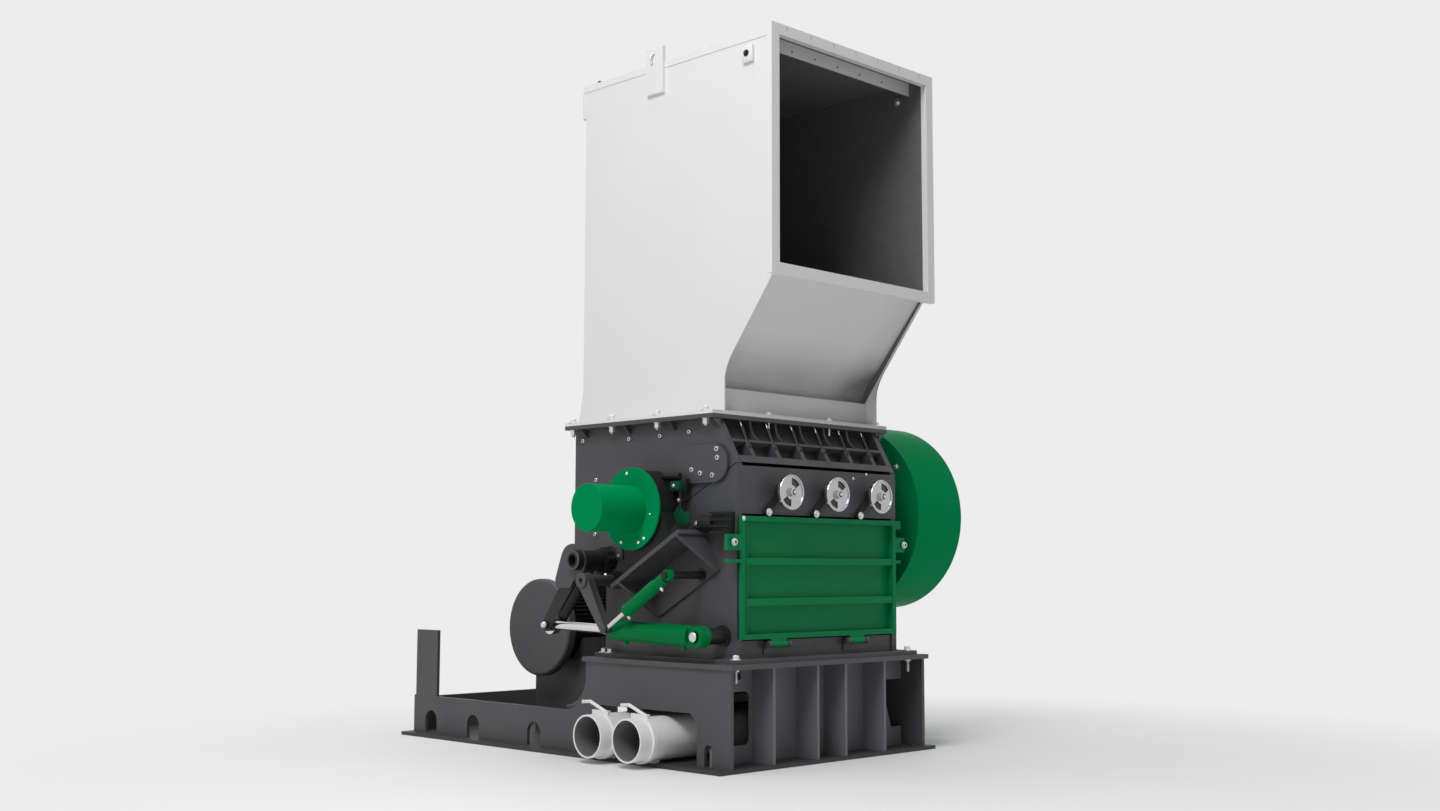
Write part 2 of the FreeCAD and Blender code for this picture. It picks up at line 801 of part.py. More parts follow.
def motor():
    body = bar_x(motor_x0, motor_x1, motor_y, motor_z, motor_r)
    x0 = motor_x0 - cowl_t
    disc = bar_x(x0, motor_x0, motor_y, motor_z, cowl_r)
    edges = []
    for e in disc.Edges:
        if abs(e.CenterOfMass.x - x0) < over and len(e.Vertexes) == 1:
            edges.append(e)
    save("motor_cowl", disc.makeFillet(cowl_edge, edges))
    terminal = box(terminal_x0, terminal_x1, motor_y - terminal_w / 2,
                   motor_y + terminal_w / 2, motor_z, motor_z + terminal_top)
    shaft = bar_x(motor_x1, motor_shaft_x1, motor_y, motor_z, motor_shaft_r)
    save("motor_body", fuse([body, terminal, shaft]))
    y0, y1 = motor_y - bed_w / 2, motor_y + bed_w / 2
    feet = box(bed_x, bed_end, y0, y1, rail_z, motor_z - bed_rise)
    feet = feet.cut(bar_x(motor_x0, motor_x1, motor_y, motor_z, motor_r))
    parts = [feet]
    for y in (y0, y1 - rail_w):
        parts.append(box(bed_x, wall_in, y, y + rail_w, rail_top - cross_drop, rail_z))
    parts.append(box(bed_x, bed_x + beam_w, y0, y1, plate_t, rail_z))
    save("motor_base", fuse(parts))


def hopper_sides():
    xo = hop_x
    my = mouth_y + mouth_d
    prof = [(my, hop_top), (hop_back, hop_top), (hop_back, flare_z)]
    prof += [(hop_back + flare_y, fl_top), (throat_y, fl_top)]
    prof += bend((throat_y, knee_z - knee_low), (throat_y, knee_z),
                 (throat_y - knee_out, knee_z + knee_high))
    prof += [(slope_y0, mouth_z0), (my, mouth_z0)]
    left = prism(prof, -xo, -xo + sheet)
    save("hopper_side_left", left)
    save("hopper_side_right", mirror_x(left))
    xi = xo - sheet
    back = [(hop_back - sheet, hop_top), (hop_back, hop_top), (hop_back, flare_z),
            (hop_back + flare_y, fl_top), (hop_back + flare_y - sheet, fl_top),
            (hop_back - sheet, flare_z)]
    save("hopper_back", prism(back, -xi, xi))


def hopper_lid():
    """Roof sheet under a lid with folded edges, and the curtain rail."""
    xo, xi = hop_x, hop_x - sheet
    my = mouth_y + mouth_d
    z = hop_top
    roof = box(-xi, xi, my, hop_back - sheet, z - sheet, z)
    y1 = hop_back + lid_over
    xl = xo + lid_t
    lid = box(-xl, xl, my, y1, z - lid_back, z + lid_rise)
    inside = box(-xo, xo, my - over, hop_back, z - lid_back - over, z)
    skirt = box(-xl - over, xl + over, my - over, y1 - lid_t,
                z - lid_back - over, z - lid_drop)
    fold = box(-xo, xo, hop_back, y1 - lid_t, z - lid_back - over, z)
    lid = cut(lid, [inside, skirt, fold])
    bar = box(-xi, xi, rail_y, rail_y + rail_t, z - sheet - rail_h, z - sheet)
    save("hopper_top", fuse([roof, lid, bar]))


def hopper_front():
    """Slanted plate behind the side edges, rounding over into the throat."""
    xi = hop_x - sheet
    a = (mouth_y + mouth_d, mouth_z0 + mouth_w - sheet)
    b = (pan_y - pan_back, knee_z + pan_high)
    slope = math.atan2(b[0] - a[0], a[1] - b[1])
    curve = bend(b, (pan_y, knee_z), (pan_y, collar_z))
    back = [(a[0], a[1] + sheet / math.sin(slope))]
    for i, (y, z) in enumerate(curve):
        turn = slope * (1 - i / (len(curve) - 1))
        back.append((y + sheet * math.cos(turn), z + sheet * math.sin(turn)))
    foot = [(pan_y, fl_top), (pan_y + sheet, fl_top)]
    save("hopper_slope", prism([a] + curve + foot + back[::-1], -xi, xi))
    save("throat_collar", box(-xi, xi, collar_y - sheet, collar_y, fl_top, collar_z))
    m, w = mouth_x, mouth_w
    z1 = hop_top + mouth_rise
    y0, y1 = mouth_y, mouth_y + mouth_d
    frame = box(-m, m, y0, y1, mouth_z0, z1)
    mouth = box(-m + w, m - w, y0 - over, y1 + over, mouth_z0 + w, z1 - w)
    save("mouth_frame", frame.cut(mouth))


def hopper_mounts():
    xi = hop_x - sheet
    hole = box(-xi, xi, pan_y + sheet, hop_back - sheet, flange_z - over, fl_top + over)
    save("housing_flange", box(-fl_x, fl_x, fl_y0, fl_y1, flange_z, fl_mid).cut(hole))
    save("hopper_flange", box(-fl_x, fl_x, fl_y0, fl_y1, fl_mid, fl_top).cut(hole))
    xo = hop_x
    y0, y1 = lift_y - lift_w / 2, lift_y + lift_w / 2
    lug = box(-xo - lift_t, -xo, y0, y1, hop_top - lift_drop, hop_top + lift_rise)
    eye = bar_x(-xo - lift_t - over, -xo + over, lift_y + lift_hole_dy,
                hop_top + lift_hole_dz, lift_hole_r)
    lid = box(-xo - lid_t, -xo, y0 - over, y1 + over, hop_top - lid_drop, hop_top + lid_rise)
    lug = cut(lug, [eye, lid])
    save("lifting_lugs", group([lug, mirror_x(lug)]))


def door():
    xa, xb = door_x0, door_x1
    r = door_rim
    y0, y1 = door_y, -gap
    rim = box(xa, xb, y0, y1, door_z0, door_z1)
    rim = rim.cut(box(xa + r, xb - r, y0 - over, y1 + over, door_z0 + r, door_z1 - r))
    xi = side_in - gap
    z0, z1 = door_z0 + door_step, door_z1 - door_step
    pan_y1 = door_pan_y + door_pan_t
    t = door_wall
    tray = box(-xi, xi, y0 + door_step, pan_y1, z0, z1)
    tray = tray.cut(box(-xi + t, xi - t, y0, door_pan_y, z0 + t, z1 - t))
    parts = [rim, tray]
    for z in door_ribs:
        parts.append(box(-xi, xi, y0 + door_step, door_pan_y, z, z + door_rib_h))
    for xc in door_hinge_xs:
        w = knuckle_w / 2
        leaf = box(xc - w, xc + w, pivot_y - door_step, y1, pivot_z, z0)
        leaf = fuse([leaf, bar_x(xc - w, xc + w, pivot_y, pivot_z, knuckle_r)])
        bore = bar_x(xc - w - over, xc + w + over, pivot_y, pivot_z, pivot_r + fit)
        parts.append(leaf.cut(bore))
    parts.append(box(lug_x0, xa, y0, y1, lug_z0, lug_z1))
    parts.append(box(xb, lug_x1, y0, y1, lug_z0, lug_z1))
    parts.append(box(lug_x0, xa, y0, y1, stop_z0, stop_z0 + stop_h))
    parts.append(box(xb, xb + top_ear_w, y0, y1, stop_z0, stop_z0 + stop_h))
    parts.append(box(xb, xb + top_ear_w, y0, y1, door_z1 - top_ear_h, door_z1))
    save("front_door", fuse(parts))


def door_hinges():
    hinges = []
    for xc in door_hinge_xs:
        inner = knuckle_w / 2 + gap
        outer = inner + ear_t
        pin = bar_x(xc - outer, xc + outer, pivot_y, pivot_z, pivot_r)
        pad = box(xc - outer, xc + outer, 0, sill_y, pivot_z - hinge_pad, pivot_z + pivot_r)
        ears = []
        for s in (-1, 1):
            e = sorted((xc + s * inner, xc + s * outer))
            ears.append(bar_x(e[0], e[1], pivot_y, pivot_z, ear_r))
            ears.append(box(e[0], e[1], pivot_y, sill_y, pivot_z - ear_r, pivot_z))
        hinges.append(fuse([pin, pad] + ears))
    save("door_hinges", group(hinges))


def wheels():
    dogs = []
    zc = wheel_z
    for i, x in enumerate(wheel_xs):
        y0, y1 = wheel_y, wheel_y + wheel_t
        disc = bar_y(y0, y1, x, zc, wheel_r)
        for deg in wheel_holes:
            a, b = deg - wheel_hole_span / 2, deg + wheel_hole_span / 2
            kidney = arc(x, zc, wheel_hole_r1, a, b) + arc(x, zc, wheel_hole_r0, b, a)
            disc = disc.cut(front_prism(kidney, y0 - over, y1 + over))
        wheel = fuse([disc, bar_y(hub_y0, hub_y1, x, zc, hub_r)])
        wheel = wheel.cut(bar_y(hub_y0 - over, hub_y1 + over, x, zc, stem_r + fit))
        save("handwheel_" + str(i + 1), wheel)
        stem = bar_y(stem_y, 0, x, zc, stem_r)
        boss = bar_y(dog_y, 0, x, zc, boss_r)
        d = math.hypot(dog_dx, dog_dz)
        link = Part.makeBox(d, dog_t, dog_w, V(0, dog_y, -dog_w / 2))
        link.rotate(V(0, 0, 0), V(0, 1, 0), math.degrees(math.atan2(-dog_dz, dog_dx)))
        link.translate(V(x, 0, zc))
        knob = bar_y(knob_y, 0, x + dog_dx, zc + dog_dz, knob_r)
        dogs.append(fuse([stem, boss, link, knob]))
    save("clamp_dogs", group(dogs))


def wall_pin(y, z, x, eye_w, boss, pin):
    """A boss on the left side plate whose pin stands out through an eye."""
    inner = x + eye_w / 2 + gap
    outer = x - eye_w / 2 - gap
    pad = bar_x(-side_x - cover_t, -side_x, y, z, boss + cover_t)
    stud = bar_x(inner, -side_x - cover_t, y, z, boss)
    shaft = bar_x(outer - gap, inner, y, z, pin)
    head = bar_x(outer - 2 * gap, outer, y, z, pin + gap)
    return fuse([pad, stud, shaft, head])


def cylinder_pins():
    main = wall_pin(cyl_pin_y, cyl_pin_z, cyl_x, cyl_eye_w, cyl_boss_r, cyl_pin_r)
    aux = wall_pin(aux_y, aux_z, crd_x, aux_eye_w, aux_boss_r, aux_pin_r)
    save("cylinder_pins", group([main, aux]))


def aimed(shape, y, z, to_y, to_z):
    """Turns a cylinder drawn along +Y from the origin to its two pins."""
    s = shape.copy()
    s.rotate(V(0, 0, 0), V(1, 0, 0), math.degrees(math.atan2(to_z - z, to_y - y)))
    s.translate(V(0, y, z))
    return s


def main_cylinder():
    x = cyl_x
    w = cyl_eye_w / 2
    ends = (cyl_pin_y, cyl_pin_z, crank_pin_y, crank_pin_z)
    dist = math.hypot(ends[2] - ends[0], ends[3] - ends[1])
    bore0, bore1 = cyl_eye_r + cyl_end, cyl_len - cyl_end
    parts = [bar_x(x - w, x + w, 0, 0, cyl_eye_r)]
    parts.append(bar_y(0, bore0, x, 0, cyl_neck_r))
    parts.append(bar_y(cyl_eye_r, cyl_len, x, 0, cyl_r))
    for y in (bore0 + port_stub, bore1 - port_stub):
        parts.append(rod((x, y, 0), (x, y, -cyl_r - port_stub), port_stub_r))
    s = fuse(parts)
    s = s.cut(bar_x(x - w - over, x + w + over, 0, 0, cyl_pin_r + fit))
    s = s.cut(bar_y(bore0, bore1, x, 0, cyl_bore))
    s = s.cut(bar_y(bore0, cyl_len + over, x, 0, rod_r + fit))
    save("main_cylinder_barrel", aimed(s, *ends))
    piston = bar_y(bore1 - 2 * cyl_end, bore1 - gap, x, 0, cyl_bore - over)
    stem = bar_y(bore1 - 2 * cyl_end, dist - (open_r + rod_eye_r) / 2, x, 0, rod_r)
    we = rod_eye_w / 2
    eye = bar_x(x - we, x + we, dist, 0, rod_eye_r)
    s = fuse([stem, piston, eye]).cut(bar_x(x - we - over, x + we + over, dist, 0, open_r))
    save("main_cylinder_rod", aimed(s, *ends))


def main_crank():
    hub = tube_x(eye_x + gap, -side_x - collar_len - gap, hinge_y, hinge_z,
                 crank_hub_r, hinge_r)
    parts = [hub]
    for s in (-1, 1):
        e = sorted((cyl_x + s * fork_gap / 2, cyl_x + s * (fork_gap / 2 + fork_t)))
        p = taper(hinge_y, hinge_z, crank_r0, crank_pin_y, crank_pin_z, crank_r1, e[0], e[1])
        parts.append(p.cut(bar_x(e[0] - over, e[1] + over, hinge_y, hinge_z, hinge_r)))
    x0, x1 = cyl_x - crank_end, cyl_x + crank_end
    parts.append(bar_x(x0, x1, crank_pin_y, crank_pin_z, crank_pin_r))
    parts.append(bar_x(x0, cyl_x - fork_gap / 2, crank_pin_y, crank_pin_z, crank_head_r))
    save("main_crank", fuse(parts))


def collars():
    hinge = (hinge_y, hinge_z, collar_r, collar_len, hinge_r + fit)
    screen = (crd_y, crd_z, crd_collar_r, crd_collar_len, crd_r + fit)
    parts = []
    for y, z, r, long, bore in (hinge, screen):
        parts.append(tube_x(-side_x - long, -side_x, y, z, r, bore))
        parts.append(tube_x(side_x, side_x + long / 2, y, z, r, bore))
    save("shaft_bearings", group(parts))


def cradle():
    w = crd_hub_w / 2
    parts = [bar_x(crd_x - w, side_x + crd_stub, crd_y, crd_z, crd_r)]
    parts.append(tube_x(crd_x - w, crd_x + w, crd_y, crd_z, crd_hub_r, crd_r))
    for s in (-1, 1):
        e = sorted((crd_x + s * crd_fork_in, crd_x + s * (crd_fork_in + crd_fork_t)))
        p = taper(crd_y, crd_z, crd_collar_r, crd_pin_y, crd_pin_z, crd_eye_r, e[0], e[1])
        parts.append(p.cut(bar_x(e[0] - over, e[1] + over, crd_y, crd_z, crd_r)))
    parts.append(bar_x(crd_x - w - gap, crd_x + w, crd_pin_y, crd_pin_z, crd_pin_r))
    save("cradle_crank", fuse(parts))
    xi = side_in - gap
    shell = tube_x(-xi, xi, rotor_y, rotor_z, screen_r + screen_t, screen_r)
    reach = screen_r + 2 * screen_t
    keep = box(-xi - over, xi + over, rotor_y - reach, rotor_y + reach,
               rotor_z - reach, rotor_z - screen_drop)
    parts = [shell.common(turned(keep, rotor_y, rotor_z, -screen_a))]
    t = crd_arm_t
    for x in (-xi, -t / 2, xi - t):
        p = taper(crd_y, crd_z, crd_collar_r, crd_y - 2 * crd_arm_r, crd_z + crd_arm_r,
                  crd_arm_r, x, x + t)
        p = p.cut(bar_x(x - over, x + t + over, rotor_y, rotor_z, screen_r + screen_t / 2))
        parts.append(p.cut(bar_x(x - over, x + t + over, crd_y, crd_z, crd_r)))
    save("screen_cradle", fuse(parts))


def cradle_cylinder():
    x = crd_x
    w = aux_eye_w / 2
    ends = (aux_y, aux_z, crd_pin_y, crd_pin_z)
    dist = math.hypot(ends[2] - ends[0], ends[3] - ends[1])
    bore0, bore1 = aux_eye_r + aux_end, aux_len - aux_end
    parts = [bar_x(x - w, x + w, 0, 0, aux_eye_r)]
    parts.append(bar_y(0, bore0, x, 0, aux_neck_r))
    parts.append(bar_y(aux_boss_r + gap, aux_len, x, 0, aux_r))
    s = fuse(parts)
    s = s.cut(bar_x(x - w - over, x + w + over, 0, 0, aux_pin_r + fit))
    s = s.cut(bar_y(bore0, bore1, x, 0, aux_bore))
    s = s.cut(bar_y(bore0, aux_len + over, x, 0, aux_rod_r + fit))
    save("cradle_cylinder_barrel", aimed(s, *ends))
    piston = bar_y(bore0 + gap, bore0 + aux_end, x, 0, aux_bore - over)
    stem = bar_y(bore0 + gap, dist, x, 0, aux_rod_r)
    tip = bar_x(x - aux_rod_r, x + aux_rod_r, dist, 0, aux_tip_r)
    s = fuse([stem, piston, tip])
    r = aux_tip_r + 2 * gap
    for side in (-1, 1):
        e = sorted((x + side * aux_tip_w / 2, x + side * 2 * aux_rod_r))
        s = s.cut(box(e[0], e[1], dist - r, dist + r, -r, r))
    s = s.cut(bar_x(x - aux_tip_w, x + aux_tip_w, dist, 0, aux_open_r))
    save("cradle_cylinder_rod", aimed(s, *ends))


def side_covers():
    """The round cover on its boss, and the oil block before the seat."""
    y0, y1, z, r = cover_y0, cover_y1, cover_z, cover_r
    inner = -side_x - gap
    outer = inner - cover_t
    parts = [bar_x(outer, inner, y0, z, r), bar_x(outer, inner, y1, z, r)]
    parts.append(box(outer, inner, y0, y1, z - r, z + r))
    b = cover_boss_r
    parts += [bar_x(inner, -side_x, y0, z, b), bar_x(inner, -side_x, y1, z, b)]
    save("round_side_cover", fuse(parts))
    end_y = seat_end_y - gap
    ya, yb = end_y - oil_can_len - oil_w, end_y - oil_can_len
    x1 = -side_x
    z0 = seat_end_z - oil_drop
    parts = [box(x1 - oil_d, x1, ya, yb, z0, z0 + oil_h)]
    pitch = (oil_h - oil_fin) / (oil_fins - 1)
    for i in range(oil_fins):
        z = z0 + pitch * i
        parts.append(box(x1 - oil_d - oil_fin_out, x1 - oil_d / 2, ya - gap, yb + gap,
                         z, z + oil_fin))
    parts.append(bar_y(yb - over, end_y, x1 - oil_can_r - gap, z0 + oil_h / 2, oil_can_r))
    save("oil_block", fuse(parts))


base()
pipes()
lower_housing()
upper_housing()
hinge_shaft()
knife_bed()
consoles()
bearings()
rotor()
guard()
motor()
hopper_sides()
hopper_lid()
hopper_front()
hopper_mounts()
door()
door_hinges()
wheels()
cylinder_pins()
main_cylinder()
main_crank()
collars()
cradle()
cradle_cylinder()
side_covers()
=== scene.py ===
"""Looks of a heavy plastic crusher: painted plate, enamel guards, zinc bolts and a white hopper."""
import math
import bmesh
import bpy
from mathutils import Matrix, Vector


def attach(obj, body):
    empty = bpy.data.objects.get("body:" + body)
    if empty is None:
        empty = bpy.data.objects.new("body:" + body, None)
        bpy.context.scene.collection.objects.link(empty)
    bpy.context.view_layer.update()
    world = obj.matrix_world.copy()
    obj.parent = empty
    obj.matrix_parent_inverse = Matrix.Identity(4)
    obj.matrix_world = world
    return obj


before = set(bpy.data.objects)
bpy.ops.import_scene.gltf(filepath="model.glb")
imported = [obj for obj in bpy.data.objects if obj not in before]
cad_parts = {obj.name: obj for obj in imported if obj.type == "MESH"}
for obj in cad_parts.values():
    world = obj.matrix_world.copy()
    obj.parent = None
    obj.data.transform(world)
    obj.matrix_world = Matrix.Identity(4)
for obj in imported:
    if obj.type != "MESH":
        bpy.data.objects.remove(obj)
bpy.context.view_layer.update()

LEFT, RIGHT, FRONT, UP, DOWN = (-1, 0, 0), (1, 0, 0), (0, -1, 0), (0, 0, 1), (0, 0, -1)

# places that several pieces share, in metres
ROTOR_Y, ROTOR_Z = 0.600, 1.303
HINGE_Y, HINGE_Z = 0.965, 1.037         # axis of the upper housing and its crank
CRADLE_Y, CRADLE_Z = 0.872, 0.930       # axis of the screen cradle and its crank
WHEEL_XS, WHEEL_Z = (-0.318, 0.047, 0.409), 1.385
PIPE_YS, PIPE_Z = (0.411, 0.711), 0.140
PIN_Y, PIN_Z = 0.093, 0.657             # foot pin of the main cylinder
MOTOR_Y, MOTOR_Z = 1.840, 0.648

# inside of the hopper
HOPPER_MIDDLE = (0.0, 0.75, 2.8)
HOPPER_HALF, HOPPER_BACK = 0.611, 1.224
MOUTH_SLOPE, MOUTH_REACH = (0.0, 0.376, 0.286), 0.6235

# row of screws over the mouth
SCREW_START, SCREW_PITCH, SCREW_Z, MOUTH_FRONT = 0.365, 0.182, 3.733, -0.2705

# materials


def linear(code, lift=1.0):
    """An sRGB hex colour as the linear values a shader takes, made lighter or darker by lift."""
    parts = [int(code[i:i + 2], 16) / 255 for i in (1, 3, 5)]
    parts = [c / 12.92 if c <= 0.04045 else ((c + 0.055) / 1.055) ** 2.4 for c in parts]
    return [min(1.0, c * lift) for c in parts] + [1.0]


def add(owner, kind, sockets=None, **settings):
    """Adds one node. Sockets maps an input to a value, or to the output that feeds it."""
    made = owner.node_tree.nodes.new("ShaderNode" + kind)
    for key, value in settings.items():
        setattr(made, key, value)
    for key, value in (sockets or {}).items():
        if isinstance(value, bpy.types.NodeSocket):
            owner.node_tree.links.new(value, made.inputs[key])
        else:
            made.inputs[key].default_value = value
    return made


def calc(owner, operation, a, b=0.0):
    """A math node on one or two values."""
    return add(owner, "Math", {0: a, 1: b}, operation=operation).outputs[0]


def times(owner, *values):
    """The product of several values."""
    total = values[0]
    for value in values[1:]:
        total = calc(owner, "MULTIPLY", total, value)
    return total


def dot(owner, a, b):
    """The scalar product of two vectors."""
    return add(owner, "VectorMath", {0: a, 1: b}, operation="DOT_PRODUCT").outputs["Value"]


def axes(owner, vector):
    """The X, Y and Z of a vector, by name."""
    return add(owner, "SeparateXYZ", {0: vector}).outputs


def ramp(owner, value, start, end, low=0.0, high=1.0, kind="LINEAR"):
    """Maps start to end onto low to high, and holds low or high beyond them."""
    return add(owner, "MapRange", {"Value": value, "From Min": start, "From Max": end,
                                   "To Min": low, "To Max": high},
               interpolation_type=kind).outputs[0]


def mix(owner, share, under, over):
    """The colour under where share is 0, and the colour over where it is 1."""
    return add(owner, "Mix", {0: share, 6: under, 7: over}, data_type="RGBA").outputs[2]


def noise(owner, place, size, detail=2.0, roughness=0.5):
    """A soft uneven pattern whose features are about size millimetres wide."""
    return add(owner, "TexNoise", {"Vector": place, "Scale": 1000.0 / size, "Detail": detail,
                                   "Roughness": roughness}).outputs[0]


def blank(name):
    """A material without nodes."""
    mat = bpy.data.materials.new(name)
    mat.use_nodes = True
    mat.node_tree.nodes.clear()
    return mat


def edges(mat, radius, low, high):
    """1 along outer edges and 0 on flats; it marks where the tone is lifted, as a painted highlight
    and as paint worn thin.
    """
    soft = add(mat, "Bevel", {"Radius": radius}, samples=4)
    flat = add(mat, "NewGeometry")
    return ramp(mat, dot(mat, soft.outputs[0], flat.outputs["Normal"]), high, low)


def lining(mat, place, normal):
    """1 on the faces inside the hopper that look towards its middle, and 0 outside."""
    middle = add(mat, "VectorMath", {0: HOPPER_MIDDLE, 1: place}, operation="SUBTRACT")
    at = axes(mat, place)
    # only what lies behind the mouth's sloping underside is inside
    return times(mat,
                 calc(mat, "GREATER_THAN", dot(mat, middle.outputs[0], normal), 0.0),
                 calc(mat, "LESS_THAN", calc(mat, "ABSOLUTE", at["X"]), HOPPER_HALF),
                 calc(mat, "LESS_THAN", at["Y"], HOPPER_BACK),
                 calc(mat, "GREATER_THAN", dot(mat, place, MOUTH_SLOPE), MOUTH_REACH))


def fold_painted_shade(mat, place, normal):
    """Share of painted shade on the front faces round the fold above the hopper's joint."""
    at = axes(mat, place)
    # most of it just above the fold, fading upwards, little below, and more to the right
    above = ramp(mat, at["Z"], 1.95, 2.25, 0.52, 0.10, "SMOOTHSTEP")
    below = ramp(mat, at["Z"], 1.92, 1.95, 0.30, 1.0)
    side = ramp(mat, at["X"], 0.25, 0.61, 1.0, 2.2, "SMOOTHSTEP")
    share = calc(mat, "MINIMUM", times(mat, above, below, side), 0.85)
    front = calc(mat, "LESS_THAN", axes(mat, normal)["Y"], -0.3)
    patch = ramp(mat, noise(mat, place, 260, 4.0), 0.0, 1.0, 0.75, 1.25)
    return times(mat, share, front, patch)


def screw_heads(mat, place, tone):
    """A row of flush countersunk heads along the top of the mouth's frame."""
    at = axes(mat, place)
    along = calc(mat, "PINGPONG", calc(mat, "ADD", at["X"], SCREW_START), SCREW_PITCH / 2)
    spot = add(mat, "CombineXYZ", {"X": along, "Z": calc(mat, "SUBTRACT", at["Z"], SCREW_Z)})
    away = add(mat, "VectorMath", {0: spot.outputs[0]}, operation="LENGTH").outputs["Value"]
    front = calc(mat, "LESS_THAN", at["Y"], MOUTH_FRONT)
    for r, shade in ((0.0085, "#8C8C8C"), (0.0062, "#F0F0F0")):
        tone = mix(mat, times(mat, calc(mat, "LESS_THAN", away, r), front), tone, linear(shade))
    return tone


def painted(name, colour, rough, drift=0.06, edge=1.5, peel=14.0, relief=0.25, spec=0.5,
            ior=1.5, inner=None, screws=False):
    """Sprayed enamel on plate: slow drift in tone, orange peel, edges lighter with wear and a
    painted highlight.
    """
    mat = blank(name)
    spot = add(mat, "TexCoord")
    place, normal = spot.outputs["Object"], spot.outputs["Normal"]
    # the film is thicker here and thinner there, over about 600 mm
    tone = mix(mat, noise(mat, place, 600, 3.0), linear(colour, 1 - drift),
               linear(colour, 1 + drift))
    if inner:
        # painted shade: a grey tone laid in the fold above the joint, more towards the right
        tone = mix(mat, fold_painted_shade(mat, place, normal), tone, linear("#5A5A5A"))
        scuffed = mix(mat, noise(mat, place, 45, 6.0, 0.7), linear(inner, 0.8),
                      linear(inner, 1.25))
        tone = mix(mat, lining(mat, place, normal), tone, scuffed)
    # edges lighter in patches: paint worn thin, and a painted highlight
    wear_and_painted_highlight = times(mat, edges(mat, 0.0035, 0.90, 0.995), noise(mat, place, 30, 4.0))
    tone = mix(mat, wear_and_painted_highlight, tone, linear(colour, edge))
    if screws:
        tone = screw_heads(mat, place, tone)
    # real orange peel is 2 to 4 mm wide; it is drawn wider so that it shows at this distance
    bump = add(mat, "Bump", {"Height": noise(mat, place, peel), "Strength": relief,
                             "Distance": 0.0008})
    smear = ramp(mat, noise(mat, place, 180, 5.0), 0.3, 0.7, rough - 0.06, rough + 0.08)
    shader = add(mat, "BsdfPrincipled", {"Base Color": tone, "Roughness": smear, "IOR": ior,
                                         "Specular IOR Level": spec,
                                         "Normal": bump.outputs[0]})
    add(mat, "OutputMaterial", {"Surface": shader.outputs[0]})
    return mat


def metal(name, colour, rough, grain, stretch=(1, 1, 1), relief=0.2, depth=0.12, metallic=1.0,
          spec=0.5):
    """Bare or plated metal: grain in tone, roughness and relief, along the way it was worked."""
    mat = blank(name)
    place = add(mat, "TexCoord").outputs["Object"]
    run = add(mat, "Mapping", {"Vector": place, "Scale": stretch})
    lines = noise(mat, run.outputs[0], grain, 5.0, 0.6)
    stained = calc(mat, "ADD", lines, noise(mat, place, 70, 4.0))
    tone = mix(mat, ramp(mat, stained, 0.7, 1.3), linear(colour, 1 - depth),
               linear(colour, 1 + depth))
    # edges lighter as a painted highlight
    tone = mix(mat, edges(mat, 0.0015, 0.90, 0.99), tone, linear(colour, 1.5))
    spread = ramp(mat, lines, 0.3, 0.7, rough - 0.06, rough + 0.08)
    bump = add(mat, "Bump", {"Height": lines, "Strength": relief, "Distance": 0.0004})
    shader = add(mat, "BsdfPrincipled", {"Base Color": tone, "Metallic": metallic,
                                         "Roughness": spread, "Specular IOR Level": spec,
                                         "Normal": bump.outputs[0]})
    add(mat, "OutputMaterial", {"Surface": shader.outputs[0]})
    return mat


def coat(name, mat):
    """Gives one finish to all of a CAD piece."""
    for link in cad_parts[name].material_slots:
        link.material = mat


FINISH = {
    # two-pack enamel sprayed on welded plate: satin dark grey, edges a little lighter
    "base_paint": painted("satin_enamel_grey", "#4B4B4E", 0.48),
    "body_paint": painted("satin_enamel_charcoal", "#464649", 0.48),
    # green machine enamel, fresh and even, with soft highlights
    "green_paint": painted("machine_enamel_green", "#007F4A", 0.38, edge=1.3, relief=0.15,
                           spec=0.12),
    # white powder coat outside and a dark abrasion-proof lining inside
    "hopper_paint": painted("powder_coat_white", "#ECECEC", 0.52, drift=0.02, edge=1.03,
                            spec=0.3, inner="#6C6C6C"),
    # pale grey powder coat on the conveying pipes
    "pipe_steel": painted("powder_coat_pale", "#F2F2F2", 0.45, drift=0.02, edge=1.02),
    # blackened and oiled steel of cranks, pins and clamps
    "dark_steel": metal("blackened_steel", "#29292B", 0.38, 9.0, relief=0.3, metallic=0.3,
                        spec=0.35),
    # sand-cast iron under thin black paint: pebbly and dull
    "dark_cast": metal("painted_casting", "#1E1F20", 0.5, 7.0, relief=0.7, metallic=0.1,
                       spec=0.25),
    # ground tool steel of the rotor
    "tool_steel": metal("ground_tool_steel", "#77787A", 0.34, 5.0, stretch=(1, 8, 8)),
    # turned and polished aluminium of the handwheels
    "wheel_chrome": metal("polished_aluminium", "#BDBDBF", 0.20, 6.0, relief=0.06, depth=0.06),
    # ground hard chrome of the piston rods
    "rod_chrome": metal("hard_chrome", "#DCDCDE", 0.16, 4.0, stretch=(12, 1, 12), relief=0.05,
                        depth=0.04),
}
# bright zinc plate on bolts and nuts, with a fine crystalline mottle
ZINC = metal("bright_zinc_plate", "#D9DADC", 0.34, 6.0, relief=0.15, depth=0.08, metallic=0.75)
# mid-grey painted shade inside the conveying pipes
PIPE_PAINTED_SHADE = painted("pipe_inside_painted_shade", "#747474", 0.7, drift=0.15, edge=1.0, relief=0.5)
# near-black painted shade at the bottom of holes and recesses
RECESS_PAINTED_SHADE = painted("recess_painted_shade", "#101010", 0.8, edge=1.0)

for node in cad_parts.values():
    for i, old in enumerate(node.data.materials):
        node.material_slots[i].material = FINISH[old.name.split(".")[0]]
# the cradle's crank and the motor's bed are painted like the housing and the base
coat("cradle_crank", FINISH["body_paint"])
coat("motor_base", FINISH["base_paint"])
coat("mouth_frame", painted("powder_coat_frame", "#ECECEC", 0.52, drift=0.02, edge=1.03,
                            spec=0.3, screws=True))
